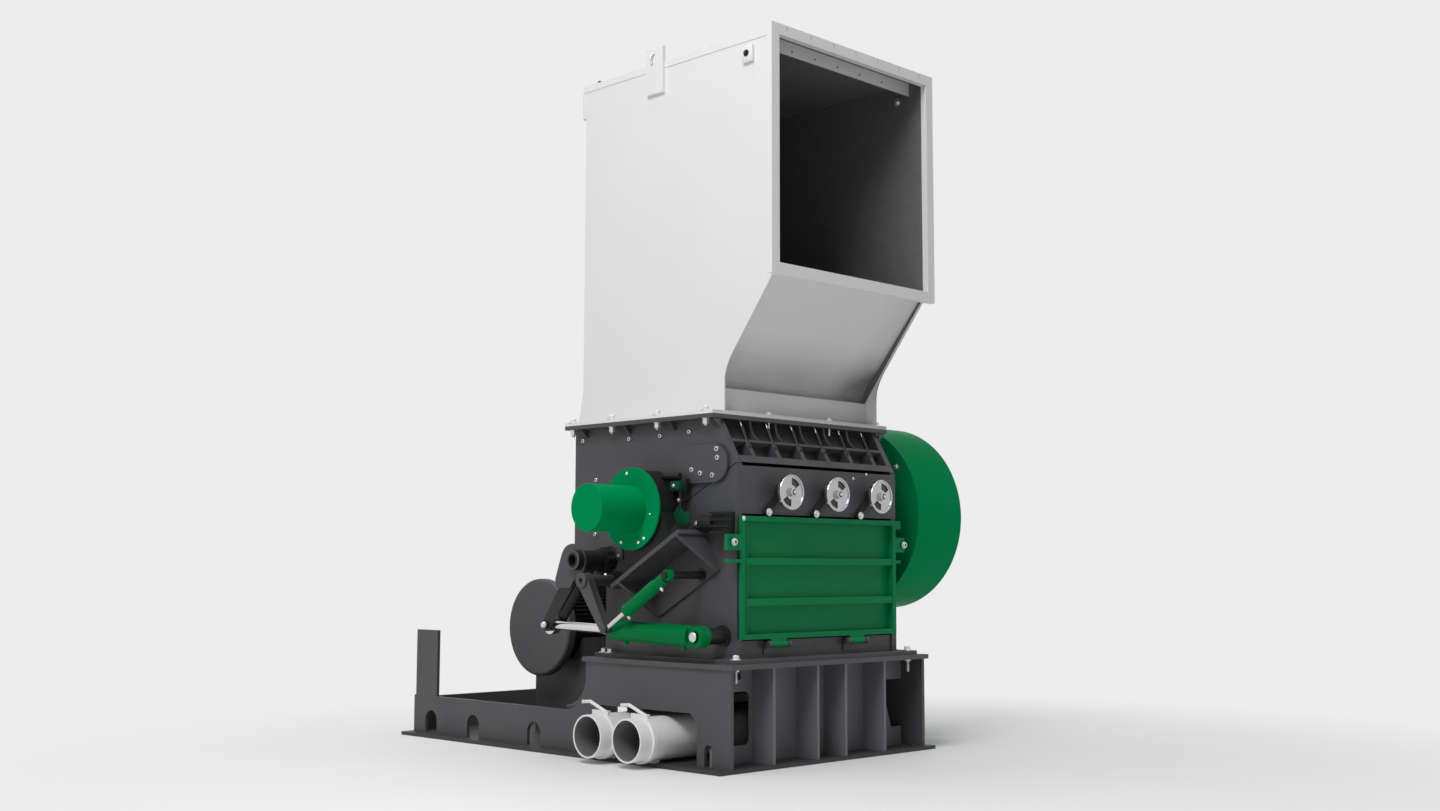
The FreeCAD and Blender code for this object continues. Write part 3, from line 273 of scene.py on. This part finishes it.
# fuller and smoother green enamel on guard and shaft cover, made lighter as painted light; deeper
# and glossier on cylinders, made darker as painted shade
GREEN_PAINTED_LIGHT = painted("machine_enamel_guard_painted_light", "#009155", 0.34, edge=1.3, relief=0.15, spec=0.05,
                ior=1.2)
GREEN_PAINTED_SHADE = painted("machine_enamel_cylinder_painted_shade", "#00783F", 0.22, edge=1.4, relief=0.05,
                   spec=0.15, ior=1.25)
# darker green enamel on the grease block and its splash plate, as painted shade
SHADE = painted("machine_enamel_shade", "#0C4A2F", 0.40, edge=1.3, relief=0.15, spec=0.12)
for name in ("belt_guard", "shaft_cover"):
    coat(name, GREEN_PAINTED_LIGHT)
for name in ("main_cylinder_barrel", "cradle_cylinder_barrel"):
    coat(name, GREEN_PAINTED_SHADE)
# the recessed front panel gets a lighter grey enamel as painted light, and the sole plate a darker,
# duller one as painted shade
coat("base_front_panel", painted("satin_enamel_panel_painted_light", "#727276", 0.48))
coat("base_plate", painted("satin_enamel_sole_painted_shade", "#303032", 0.55))

# small tools for shapes


def facing(at, way):
    """Places a shape made along +Z so that it stands at a point and points along way."""
    turned = Vector(way).to_track_quat("Z", "Y").to_matrix().to_4x4()
    return Matrix.Translation(Vector(at)) @ turned


def pour(bm, part, place):
    """Moves a finished part to its place and adds it to the piece."""
    part.transform(place)
    mesh = bpy.data.meshes.new("part")
    part.to_mesh(mesh)
    bm.from_mesh(mesh)
    bpy.data.meshes.remove(mesh)
    part.free()


def push(part, faces, way):
    """Pushes flat faces along way, so that they become a closed solid."""
    out = bmesh.ops.extrude_face_region(part, geom=faces)
    moved = [g for g in out["geom"] if isinstance(g, bmesh.types.BMVert)]
    bmesh.ops.translate(part, verts=moved, vec=way)
    bmesh.ops.recalc_face_normals(part, faces=part.faces)


def lathe(bm, outline, place, steps=24):
    """Turns an outline of (radius, height) points round Z; six steps give a hexagon."""
    part = bmesh.new()
    verts = [part.verts.new((r, 0, z)) for r, z in outline]
    lines = [part.edges.new(pair) for pair in zip(verts, verts[1:])]
    bmesh.ops.spin(part, geom=verts + lines, cent=(0, 0, 0), axis=(0, 0, 1),
                   angle=2 * math.pi, steps=steps, use_merge=True)
    bmesh.ops.remove_doubles(part, verts=part.verts, dist=1e-6)
    bmesh.ops.recalc_face_normals(part, faces=part.faces)
    pour(bm, part, place)


def plate(bm, corners, thick, round_edge=0.001):
    """A flat plate: the corners' polygon pushed along thick, with its edges eased."""
    part = bmesh.new()
    push(part, [part.faces.new([part.verts.new(c) for c in corners])], thick)
    bmesh.ops.bevel(part, geom=part.edges[:], offset=round_edge, segments=2, profile=0.5,
                    affect="EDGES", material=-1)
    pour(bm, part, Matrix.Identity(4))


def slab(bm, x, outline, depth, round_edge=0.001):
    """A plate across X: an outline of (y, z) points pushed from x by depth."""
    plate(bm, [(x, y, z) for y, z in outline], (depth, 0, 0), round_edge)


def panel(bm, x, ys, zs, depth, round_edge=0.001):
    """A rectangular plate across X, between two y and two z."""
    (y0, y1), (z0, z1) = ys, zs
    slab(bm, x, [(y0, z0), (y1, z0), (y1, z1), (y0, z1)], depth, round_edge)


def holed(bm, x, outline, hole, r, depth):
    """A plate across X with one round hole, pushed from x by depth."""
    part = bmesh.new()
    rim = [part.verts.new((x, y, z)) for y, z in outline]
    turn = [2 * math.pi * i / 32 for i in range(32)]
    ring = [part.verts.new((x, hole[0] + r * math.cos(t), hole[1] + r * math.sin(t)))
            for t in turn]
    loops = [part.edges.new(pair) for line in (rim, ring)
             for pair in zip(line, line[1:] + line[:1])]
    bmesh.ops.triangle_fill(part, use_beauty=True, edges=loops)
    push(part, part.faces[:], (depth, 0, 0))
    pour(bm, part, Matrix.Identity(4))


def hoop(bm, at, way, radius, r):
    """A closed ring of round bar."""
    turn = [2 * math.pi * i / 12 for i in range(13)]
    lathe(bm, [(radius + r * math.cos(t), r * math.sin(t)) for t in turn], facing(at, way), 32)


def weld(bm, a, b, r):
    """A weld bead from a to b with its ripples."""
    way = Vector(b) - Vector(a)
    turns = round(way.length / 0.006)
    pitch = way.length / turns
    outline = [(0, 0)]
    for i in range(turns):
        outline += [(r * 0.8, pitch * i), (r, pitch * (i + 0.4))]
    outline.append((0, way.length))
    lathe(bm, outline, facing(a, way), 8)


def gear(bm, place, inner, outer, teeth, length):
    """A splined sleeve: a ring of flats and grooves, pushed to its length."""
    part = bmesh.new()
    ring = bmesh.ops.create_circle(part, segments=teeth * 4, radius=outer)["verts"]
    for i, v in enumerate(ring):
        if i % 4 in (1, 2):
            v.co *= inner / outer
    push(part, [part.faces.new(ring)], (0, 0, length))
    pour(bm, part, place)


def washer(bm, at, way, r, thick):
    """A disc with its outer corner turned off."""
    lathe(bm, [(0, 0), (r, 0), (r, thick * 0.7), (r - thick * 0.3, thick), (0, thick)],
          facing(at, way))


def hexagon(bm, at, way, flats, high):
    """A hexagon head or nut with its corners turned off."""
    r = flats / math.sqrt(3)
    cut = high * 0.18
    lathe(bm, [(0, 0), (r, 0), (r, high - cut), (flats * 0.47, high), (0, high)],
          facing(at, way), 6)


def bolt(bm, at, way, flats=0.019, high=0.008):
    """A hexagon bolt on its washer."""
    thick = flats * 0.12
    washer(bm, at, way, flats * 0.95, thick)
    hexagon(bm, Vector(at) + Vector(way) * thick, way, flats, high)


def socket(bm, at, way, r=0.009, high=0.009, dark=None):
    """A cap screw: a turned head with a deep hole, whose floor, a disc in painted shade, goes into
    the dark piece.
    """
    lathe(bm, [(0, high * 0.3), (r * 0.55, high * 0.3), (r * 0.55, high), (r * 0.9, high),
               (r, high * 0.9), (r, 0), (0, 0)], facing(at, way))
    if dark:
        washer(dark, Vector(at) + Vector(way) * high * 0.3, way, r * 0.56, high * 0.3)


def thread(bm, at, way, r, length):
    """A screw's end: rings of thread and a turned tip."""
    turns = max(3, round(length / 0.005))
    pitch = length / turns
    outline = [(0, 0)]
    for i in range(turns):
        outline += [(r * 0.86, pitch * i), (r, pitch * (i + 0.5))]
    outline += [(r * 0.86, length), (r * 0.6, length + 0.002), (0, length + 0.002)]
    lathe(bm, outline, facing(at, way), 16)


def bar(bm, a, b, r, steps=20):
    """A round bar from a to b with eased ends."""
    way = Vector(b) - Vector(a)
    long, ease = way.length, r * 0.15
    lathe(bm, [(0, 0), (r - ease, 0), (r, ease), (r, long - ease), (r - ease, long), (0, long)],
          facing(a, way), steps)


def piece(name, bm, body, finish):
    """Turns a bmesh into a piece that rides on a body and has a real finish."""
    mesh = bpy.data.meshes.new(name)
    bm.to_mesh(mesh)
    bm.free()
    for face in mesh.polygons:
        face.use_smooth = True
    mesh.set_sharp_from_angle(angle=math.radians(32))
    mesh.materials.append(finish)
    made = bpy.data.objects.new(name, mesh)
    bpy.context.scene.collection.objects.link(made)
    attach(made, body)


# bolts of the hopper joint
FLANGE_TOP, FLANGE_LOW = 1.801, 1.760
SIDE_BOLTS = (1.233, 0.906, 0.545, 0.182)
bm = bmesh.new()
for y in SIDE_BOLTS:
    for s in (-1, 1):
        x = s * 0.676
        if (s, y) == (1, 0.182):
            # the front one on the right stands further in
            x, y = 0.659, 0.152
        bolt(bm, (x, y, FLANGE_TOP), UP, 0.030, 0.019)
        washer(bm, (x, y, FLANGE_LOW), DOWN, 0.021, 0.003)
        hexagon(bm, (x, y, FLANGE_LOW - 0.003), DOWN, 0.032, 0.027)
        thread(bm, (x, y, FLANGE_LOW - 0.030), DOWN, 0.010, 0.008)
for x in (-0.262, 0.224):
    bolt(bm, (x, 0.130, FLANGE_TOP), UP, 0.022, 0.013)
    thread(bm, (x, 0.130, FLANGE_LOW), DOWN, 0.0065, 0.040)
piece("hopper_joint_bolts", bm, "upper_housing", ZINC)

bm = bmesh.new()
for s in (-1, 1):
    for y in (1.161, 0.804, 0.450, 0.120):
        wall, lip, front = s * 0.636, s * 0.682, y - 0.005
        plate(bm, [(wall, front, 1.759), (lip, front, 1.759), (lip, front, 1.751),
                   (wall, front, 1.712)], (0, 0.010, 0))
piece("flange_gussets", bm, "upper_housing", FINISH["body_paint"])

# bolts on the side plates
bm, dark = bmesh.new(), bmesh.new()
PLATE_BOLTS = ((1.190, 1.700), (0.807, 1.690), (0.561, 1.692), (0.340, 1.701), (1.076, 1.478),
               (1.079, 1.180))
for y, z in PLATE_BOLTS:
    for s in (-1, 1):
        socket(bm, (s * 0.635, y, z), (s, 0, 0), 0.011, 0.011, dark)
piece("side_plate_screws", bm, "upper_housing", ZINC)
piece("side_plate_screw_holes", dark, "upper_housing", RECESS_PAINTED_SHADE)

bm, dark = bmesh.new(), bmesh.new()
for y, z in ((0.122, 1.601), (0.117, 1.556), (0.153, 1.468), (0.241, 1.481), (0.304, 1.501)):
    socket(bm, (-0.655, y, z), LEFT, 0.013, 0.007, dark)
piece("round_cover_screws", bm, "upper_housing", ZINC)
piece("round_cover_screw_holes", dark, "upper_housing", RECESS_PAINTED_SHADE)

# knife clamping bolts in the recess
SLANT = Vector((0, -0.43, -0.90)).normalized()
rods, nuts = bmesh.new(), bmesh.new()
for i in range(6):
    top = Vector((-0.485 + 0.194 * i, 0.112, 1.727))
    bar(rods, top, top + SLANT * 0.135, 0.009)
    hexagon(rods, top + SLANT * 0.108, SLANT, 0.028, 0.020)
    hexagon(nuts, top + SLANT * 0.022, SLANT, 0.015, 0.026)
    bar(nuts, top - SLANT * 0.030, top - SLANT * 0.002, 0.0035, 12)
piece("knife_clamping_rods", rods, "upper_housing", FINISH["dark_steel"])
piece("knife_rod_nuts", nuts, "upper_housing", ZINC)

# hopper outside
bm = bmesh.new()
for s in (-1, 1):
    bolt(bm, (s * 0.633, 0.652, 3.744), (s, 0, 0), 0.016, 0.007)
    hoop(bm, (s * 0.623, 0.644, 3.772), FRONT, 0.026, 0.005)
piece("lug_bolts", bm, "upper_housing", ZINC)

bm = bmesh.new()
for x in (-0.378, -0.197, -0.013, 0.171, 0.362):
    washer(bm, (x, -0.150, 3.683), FRONT, 0.0055, 0.0006)
# dark discs on the rail's front as painted shade in its holes
piece("curtain_rail_holes", bm, "upper_housing", RECESS_PAINTED_SHADE)

bm = bmesh.new()
bolt(bm, (0.605, -0.064, 3.638), LEFT, 0.024, 0.010)
bolt(bm, (-0.605, -0.064, 3.638), RIGHT, 0.024, 0.010)
piece("curtain_rail_bolts", bm, "upper_housing", ZINC)

# brackets that hold the curtain rail from outside
blocks, studs = bmesh.new(), bmesh.new()
for s in (-1, 1):
    panel(blocks, s * 0.613, (-0.104, -0.030), (3.590, 3.674), s * 0.020, 0.003)
    bolt(studs, (s * 0.633, -0.063, 3.636), (s, 0, 0), 0.019, 0.011)
    bolt(studs, (s * 0.600, 1.128, 3.741), UP, 0.017, 0.013)
    # returns that close the ends of the lid's rear fold
    panel(blocks, s * 0.6135, (1.2265, 1.2495), (3.552, 3.734), s * -0.004, 0.0008)
piece("rail_brackets", blocks, "upper_housing", FINISH["hopper_paint"])
piece("rail_bracket_bolts", studs, "upper_housing", FINISH["dark_steel"])

# foot of the housing
FOOT_TOP, BASE_LOW = 0.545, 0.499
bm = bmesh.new()
for s in (-1, 1):
    for y in (-0.040, 0.900, 0.950):
        bolt(bm, (s * 0.682, y, FOOT_TOP), UP, 0.030, 0.019)
    hexagon(bm, (s * 0.682, -0.040, BASE_LOW), DOWN, 0.030, 0.014)
    thread(bm, (s * 0.682, -0.040, BASE_LOW - 0.014), DOWN, 0.010, 0.055)
piece("foot_bolts", bm, "fixed", ZINC)

bm = bmesh.new()
for s in (-1, 1):
    weld(bm, (s * 0.637, -0.060, FOOT_TOP), (s * 0.637, 0.975, FOOT_TOP), 0.005)
piece("foot_welds", bm, "fixed", FINISH["body_paint"])

# web that closes the front hole of the right wall
bm = bmesh.new()
panel(bm, 0.754, (0.030, 0.098), (0.021, 0.134), 0.006)
piece("hole_web", bm, "fixed", FINISH["base_paint"])

# shaft cover and bearings
BOLT_CIRCLE = 0.187
bm = bmesh.new()
for deg in (80.7, 292.0, 250.4, 236.0):
    a = math.radians(deg)
    bolt(bm, (-0.808, ROTOR_Y + BOLT_CIRCLE * math.cos(a), ROTOR_Z + BOLT_CIRCLE * math.sin(a)),
         LEFT, 0.016, 0.007)
bolt(bm, (-0.808, 0.455, 1.273), LEFT, 0.010, 0.005)
piece("shaft_cover_bolts", bm, "fixed", ZINC)

# grease block, splash plate and fittings beside the rotor's left bearing
bm = bmesh.new()
SPLASH = ((0.349, 1.325), (0.315, 1.283), (0.270, 1.286), (0.272, 1.231), (0.314, 1.175),
          (0.430, 1.177), (0.430, 1.255), (0.382, 1.284))
slab(bm, -0.700, SPLASH, -0.006, 0.0015)
panel(bm, -0.690, (0.318, 0.384), (1.396, 1.441), -0.046, 0.004)
piece("grease_block", bm, "fixed", SHADE)
bm = bmesh.new()
panel(bm, -0.665, (0.310, 0.440), (1.386, 1.455), -0.030, 0.004)
bar(bm, (-0.700, 0.345, 1.470), (-0.700, 0.470, 1.470), 0.017)
bar(bm, (-0.697, 0.345, 1.290), (-0.697, 0.345, 1.400), 0.011)
bar(bm, (-0.668, 0.300, 1.195), (-0.700, 0.300, 1.195), 0.020)
piece("grease_lines", bm, "fixed", FINISH["dark_cast"])
bm = bmesh.new()
for x, y, z in ((-0.735, 0.352, 1.418), (-0.705, 0.345, 1.345), (-0.705, 0.300, 1.195)):
    hexagon(bm, (x, y, z), LEFT, 0.016, 0.010)
bolt(bm, (-0.655, 0.262, 1.222), LEFT, 0.020, 0.016)
piece("grease_fittings", bm, "fixed", ZINC)

# splined sleeves on the two crank shafts
bm = bmesh.new()
gear(bm, facing((-0.646, HINGE_Y, HINGE_Z), LEFT), 0.0635, 0.0705, 9, 0.056)
gear(bm, facing((-0.646, CRADLE_Y, CRADLE_Z), LEFT), 0.0430, 0.0480, 7, 0.048)
piece("splined_sleeves", bm, "fixed", FINISH["dark_steel"])

# tabs behind the hinge's collars that close the gap below the upper housing
bm = bmesh.new()
TAB = ((1.000, 0.952), (1.108, 0.952), (1.108, 0.976), (1.090, 0.994), (1.000, 0.994))
for s in (-1, 1):
    slab(bm, s * 0.641, TAB, s * 0.010, 0.002)
piece("hinge_tabs", bm, "fixed", FINISH["dark_steel"])

# wide grey cheek on the main crank, and the ring at the end of its hub
CHEEK = ((1.035, 0.888), (1.148, 0.888), (1.156, 0.935), (1.120, 1.030), (1.100, 1.078),
         (1.080, 1.104), (1.052, 1.120), (1.018, 1.126), (0.976, 1.119), (0.938, 1.097),
         (0.914, 1.062), (0.906, 1.022), (0.916, 0.985), (0.944, 0.958), (0.985, 0.944),
         (1.010, 0.922))
bm = bmesh.new()
holed(bm, -0.857, CHEEK, (HINGE_Y, HINGE_Z), 0.0545, 0.010)
lathe(bm, [(0.039, 0), (0.053, 0), (0.053, 0.003), (0.050, 0.005), (0.041, 0.005),
           (0.039, 0.003), (0.039, 0)], facing((-0.894, HINGE_Y, HINGE_Z), LEFT), 40)
piece("main_crank_cheek", bm, "upper_housing", FINISH["body_paint"])

# ring round the end of the cradle's shaft, with a centre drilling
bm = bmesh.new()
lathe(bm, [(0.014, 0), (0.038, 0), (0.041, 0.003), (0.041, 0.009), (0.038, 0.012),
           (0.016, 0.012), (0.014, 0.010), (0.014, 0)],
      facing((-0.908, CRADLE_Y, CRADLE_Z), LEFT), 36)
piece("cradle_hub_ring", bm, "cradle", FINISH["body_paint"])
# the drilling's floor is a disc in painted shade
bm = bmesh.new()
washer(bm, (-0.9075, CRADLE_Y, CRADLE_Z), LEFT, 0.0145, 0.001)
piece("cradle_hub_drilling", bm, "cradle", RECESS_PAINTED_SHADE)

# head of the pin where the main cylinder's rod meets its crank
bm = bmesh.new()
hexagon(bm, (-0.860, 1.240, 0.687), LEFT, 0.026, 0.010)
lathe(bm, [(0, 0), (0.019, 0), (0.019, 0.006), (0.014, 0.014), (0, 0.016)],
      facing((-0.860, 1.240, 0.687), LEFT))
piece("crank_pin_head", bm, "upper_housing", ZINC)

# catch across the split beside the hinge
bm = bmesh.new()
CATCH = ((0.847, 1.042), (0.903, 1.042), (0.903, 1.078), (0.896, 1.094), (0.875, 1.102),
         (0.854, 1.094), (0.847, 1.078))
slab(bm, -0.635, CATCH, -0.012, 0.002)
panel(bm, -0.635, (0.798, 0.818), (1.042, 1.100), -0.014, 0.004)
piece("split_catch", bm, "fixed", FINISH["body_paint"])
bm = bmesh.new()
socket(bm, (-0.647, 0.875, 1.062), LEFT, 0.008, 0.007)
piece("split_catch_screw", bm, "fixed", ZINC)

# eye of the main cylinder: square shoulder behind it and the pin's bright head
AXIS = Vector((0, 1.147, 0.030)).normalized()
SIDE = Vector((0, -AXIS.z, AXIS.y))
EYE = Vector((-0.832, PIN_Y, PIN_Z))
bm = bmesh.new()
plate(bm, [EYE + AXIS * 0.028 + SIDE * 0.046, EYE + AXIS * 0.056 + SIDE * 0.052,
           EYE + AXIS * 0.056 - SIDE * 0.052, EYE + AXIS * 0.028 - SIDE * 0.046],
      (0.060, 0, 0), 0.003)
lathe(bm, [(0.0275, 0), (0.048, 0), (0.050, 0.002), (0.046, 0.005), (0.030, 0.005),
           (0.0275, 0.003), (0.0275, 0)], facing(EYE, LEFT), 36)
# gland at the barrel's other end
end = Vector((-0.802, PIN_Y, PIN_Z)) + AXIS * 0.600
lathe(bm, [(0.0262, 0), (0.050, 0), (0.050, 0.044), (0.047, 0.052), (0.036, 0.052),
           (0.036, 0.058), (0.0262, 0.058), (0.0262, 0)], facing(end, AXIS), 40)
piece("cylinder_eye", bm, "main_barrel", GREEN_PAINTED_SHADE)

bm = bmesh.new()
lathe(bm, [(0, 0), (0.025, 0), (0.025, 0.003), (0.021, 0.006), (0, 0.006)],
      facing((-0.850, PIN_Y, PIN_Z), LEFT))
piece("cylinder_pin_head", bm, "fixed", ZINC)

# jacket and fittings of the cradle's cylinder
NEAR, FAR = Vector((-0.885, 0.236, 0.961)), Vector((-0.885, 0.706, 0.678))
along = (FAR - NEAR).normalized()
bm = bmesh.new()
lathe(bm, [(0.0292, 0), (0.032, 0), (0.0345, 0.003), (0.0345, 0.255), (0.032, 0.258),
           (0.0292, 0.258), (0.0292, 0)], facing(NEAR + along * 0.098, along), 36)
piece("cradle_cylinder_jacket", bm, "cradle_barrel", GREEN_PAINTED_SHADE)
bm = bmesh.new()
below = Vector((0, along.z, -along.y))
for at in (0.075, 0.358):
    root = NEAR + along * at + below * 0.026
    lathe(bm, [(0, 0), (0.008, 0), (0.008, 0.012), (0.006, 0.016), (0.006, 0.024), (0, 0.024)],
          facing(root, below), 16)
    hexagon(bm, root + below * 0.008, below, 0.020, 0.008)
piece("cradle_cylinder_fittings", bm, "cradle_barrel", ZINC)

# front door
bm, dark = bmesh.new(), bmesh.new()
for x, z in ((-0.692, 1.126), (0.662, 1.126)):
    washer(bm, (x, -0.0385, z), FRONT, 0.019, 0.003)
    socket(bm, (x, -0.0415, z), FRONT, 0.014, 0.009, dark)
bolt(bm, (-0.611, -0.026, 1.246), FRONT, 0.013, 0.006)
piece("door_screws", bm, "door", ZINC)
piece("door_screw_holes", dark, "door", RECESS_PAINTED_SHADE)

# handwheels
for name, x in zip(("left", "middle", "right"), WHEEL_XS):
    bm = bmesh.new()
    lathe(bm, [(0.0155, 0), (0.022, 0), (0.022, 0.010), (0.019, 0.013), (0.0155, 0.013),
               (0.0155, 0)], facing((x, -0.092, WHEEL_Z), FRONT), 32)
    # rolled rim
    lathe(bm, [(0.083, 0), (0.092, 0), (0.092, 0.003), (0.090, 0.006), (0.087, 0.0065),
               (0.084, 0.004), (0.083, 0)], facing((x, -0.084, WHEEL_Z), FRONT), 48)
    piece("handwheel_rim_" + name, bm, "wheel_" + name, FINISH["wheel_chrome"])
bm = bmesh.new()
for x in WHEEL_XS:
    washer(bm, (x - 0.112, -0.031, 1.281), FRONT, 0.020, 0.003)
    hexagon(bm, (x - 0.112, -0.034, 1.281), FRONT, 0.024, 0.010)
    # cap nut on the stem
    hexagon(bm, (x, -0.1045, WHEEL_Z), FRONT, 0.017, 0.006)
    lathe(bm, [(0, 0), (0.006, 0), (0.006, 0.003), (0.003, 0.0055), (0, 0.006)],
          facing((x, -0.1105, WHEEL_Z), FRONT), 16)
# two small screws in the front plate
for x, z in ((0.237, 1.480), (0.347, 1.507)):
    bolt(bm, (x, -0.031, z), FRONT, 0.008, 0.003)
piece("dog_nuts", bm, "fixed", ZINC)

# grey shells inside the conveying pipes, as painted shade
bm = bmesh.new()
for y in PIPE_YS:
    lathe(bm, [(0.0995, 0), (0.0995, 1.290), (0.1005, 1.290), (0.1005, 0), (0.0995, 0)],
          facing((0.292, y, PIPE_Z), LEFT), 48)
piece("pipe_inside_shade_shells", bm, "fixed", PIPE_PAINTED_SHADE)

# belt guard
bm = bmesh.new()
bolt(bm, (0.922, 0.220, 1.585), LEFT, 0.019, 0.008)
piece("belt_guard_bolts", bm, "fixed", ZINC)

# cooling fins and terminal lid of the motor
BOX_Y, BOX_X0, BOX_X1 = 0.128, -0.156, 0.136       # the terminal box breaks the fins here
FIN_X0, FIN_X1, FIN_ROOT, FIN_HIGH, FIN_THICK = -0.300, 0.500, 0.203, 0.019, 0.004
bm = bmesh.new()
for deg in range(-8, 189, 7):
    t = math.radians(deg)
    out = Vector((0, math.cos(t), math.sin(t)))
    flank = Vector((0, -math.sin(t), math.cos(t)))
    boxed = abs(out.y) * (FIN_ROOT + FIN_HIGH) < BOX_Y and out.z > 0
    for x0, x1 in (((FIN_X0, BOX_X0), (BOX_X1, FIN_X1)) if boxed else ((FIN_X0, FIN_X1),)):
        low = Vector((0, MOTOR_Y, MOTOR_Z)) + out * FIN_ROOT - flank * FIN_THICK / 2
        high = low + out * FIN_HIGH
        plate(bm, [(x0, low.y, low.z), (x1, low.y, low.z), (x1, high.y, high.z),
                   (x0, high.y, high.z)], flank * FIN_THICK)
plate(bm, [(-0.146, 1.724, 0.908), (0.126, 1.724, 0.908), (0.126, 1.956, 0.908),
           (-0.146, 1.956, 0.908)], (0, 0, 0.008), 0.003)
piece("motor_fins", bm, "fixed", FINISH["dark_cast"])
bm = bmesh.new()
for x in (-0.130, 0.110):
    for y in (1.740, 1.940):
        socket(bm, (x, y, 0.916), UP, 0.006, 0.005)
piece("terminal_lid_screws", bm, "fixed", ZINC)

# floor, light and camera


def looked_at(owner):
    """1 for rays that come from the camera, straight, mirrored or through glass."""
    path = add(owner, "LightPath").outputs
    seen = calc(owner, "MAXIMUM", path["Is Camera Ray"], path["Is Glossy Ray"])
    return calc(owner, "MAXIMUM", seen, path["Is Transmission Ray"])


BACKDROP = "#EDEDED"
FADE_START, FADE_END = 1.3, 4.8         # metres from the machine's middle

floor_mat = blank("pale_studio_floor")
place = add(floor_mat, "TexCoord").outputs["Object"]
pale = mix(floor_mat, noise(floor_mat, place, 900), linear("#F0F0F0"), linear("#F4F4F4"))
shader = add(floor_mat, "BsdfPrincipled", {"Base Color": pale, "Roughness": 0.75})
# far from the machine the floor runs into the backdrop without a line, and only where it is
# looked at, so that it doesn't light the machine
reach = add(floor_mat, "VectorMath", {0: place}, operation="LENGTH").outputs["Value"]
far = ramp(floor_mat, reach, FADE_START, FADE_END, kind="SMOOTHSTEP")
far = times(floor_mat, far, looked_at(floor_mat))
glow = add(floor_mat, "Emission", {"Color": linear(BACKDROP), "Strength": 1.0})
blend = add(floor_mat, "MixShader", {0: far, 1: shader.outputs[0], 2: glow.outputs[0]})
add(floor_mat, "OutputMaterial", {"Surface": blend.outputs[0]})
bm = bmesh.new()
bmesh.ops.create_grid(bm, x_segments=4, y_segments=4, size=60.0)
mesh = bpy.data.meshes.new("floor")
bm.to_mesh(mesh)
bm.free()
mesh.materials.append(floor_mat)
floor = bpy.data.objects.new("floor", mesh)
bpy.context.scene.collection.objects.link(floor)

world = bpy.data.worlds.new("studio")
bpy.context.scene.world = world
world.use_nodes = True
world.node_tree.nodes.clear()
ambient = add(world, "Background", {"Color": linear("#FFFFFF"), "Strength": 0.20})
backdrop = add(world, "Background", {"Color": linear(BACKDROP), "Strength": 1.0})
both = add(world, "MixShader", {0: looked_at(world), 1: ambient.outputs[0],
                                2: backdrop.outputs[0]})
add(world, "OutputWorld", {"Surface": both.outputs[0]})


def lamp(name, at, aim, size, power):
    """A square soft box that looks at a point."""
    data = bpy.data.lights.new(name, "AREA")
    data.shape = "SQUARE"
    data.size = size
    data.energy = power
    made = bpy.data.objects.new(name, data)
    made.location = at
    made.rotation_euler = (Vector(aim) - Vector(at)).to_track_quat("-Z", "Y").to_euler()
    bpy.context.scene.collection.objects.link(made)


lamp("key_soft_box", (-6.5, -2.0, 8.0), (0, 0.6, 1.8), 3.5, 455)
lamp("ceiling_soft_box", (0.0, 0.2, 16.0), (0, 0, 0), 10.0, 950)

bpy.context.scene.view_settings.view_transform = "Standard"

# the photograph's camera: its place, heading, tilt and roll
CAMERA_AT = (-6.354, -5.571, 0.997)
HEADING, TILT, ROLL = (math.radians(deg) for deg in (-45.14, 95.85, 0.11))
camera = bpy.data.cameras.new("camera")
camera.sensor_width = 36.0
camera.lens = 39.65
camera.clip_end = 200.0
eye = bpy.data.objects.new("camera", camera)
turn = Matrix.Rotation(HEADING, 4, "Z") @ Matrix.Rotation(TILT, 4, "X")
turn = turn @ Matrix.Rotation(ROLL, 4, "Z")
eye.matrix_world = Matrix.Translation(CAMERA_AT) @ turn
bpy.context.scene.collection.objects.link(eye)
bpy.context.scene.camera = eye
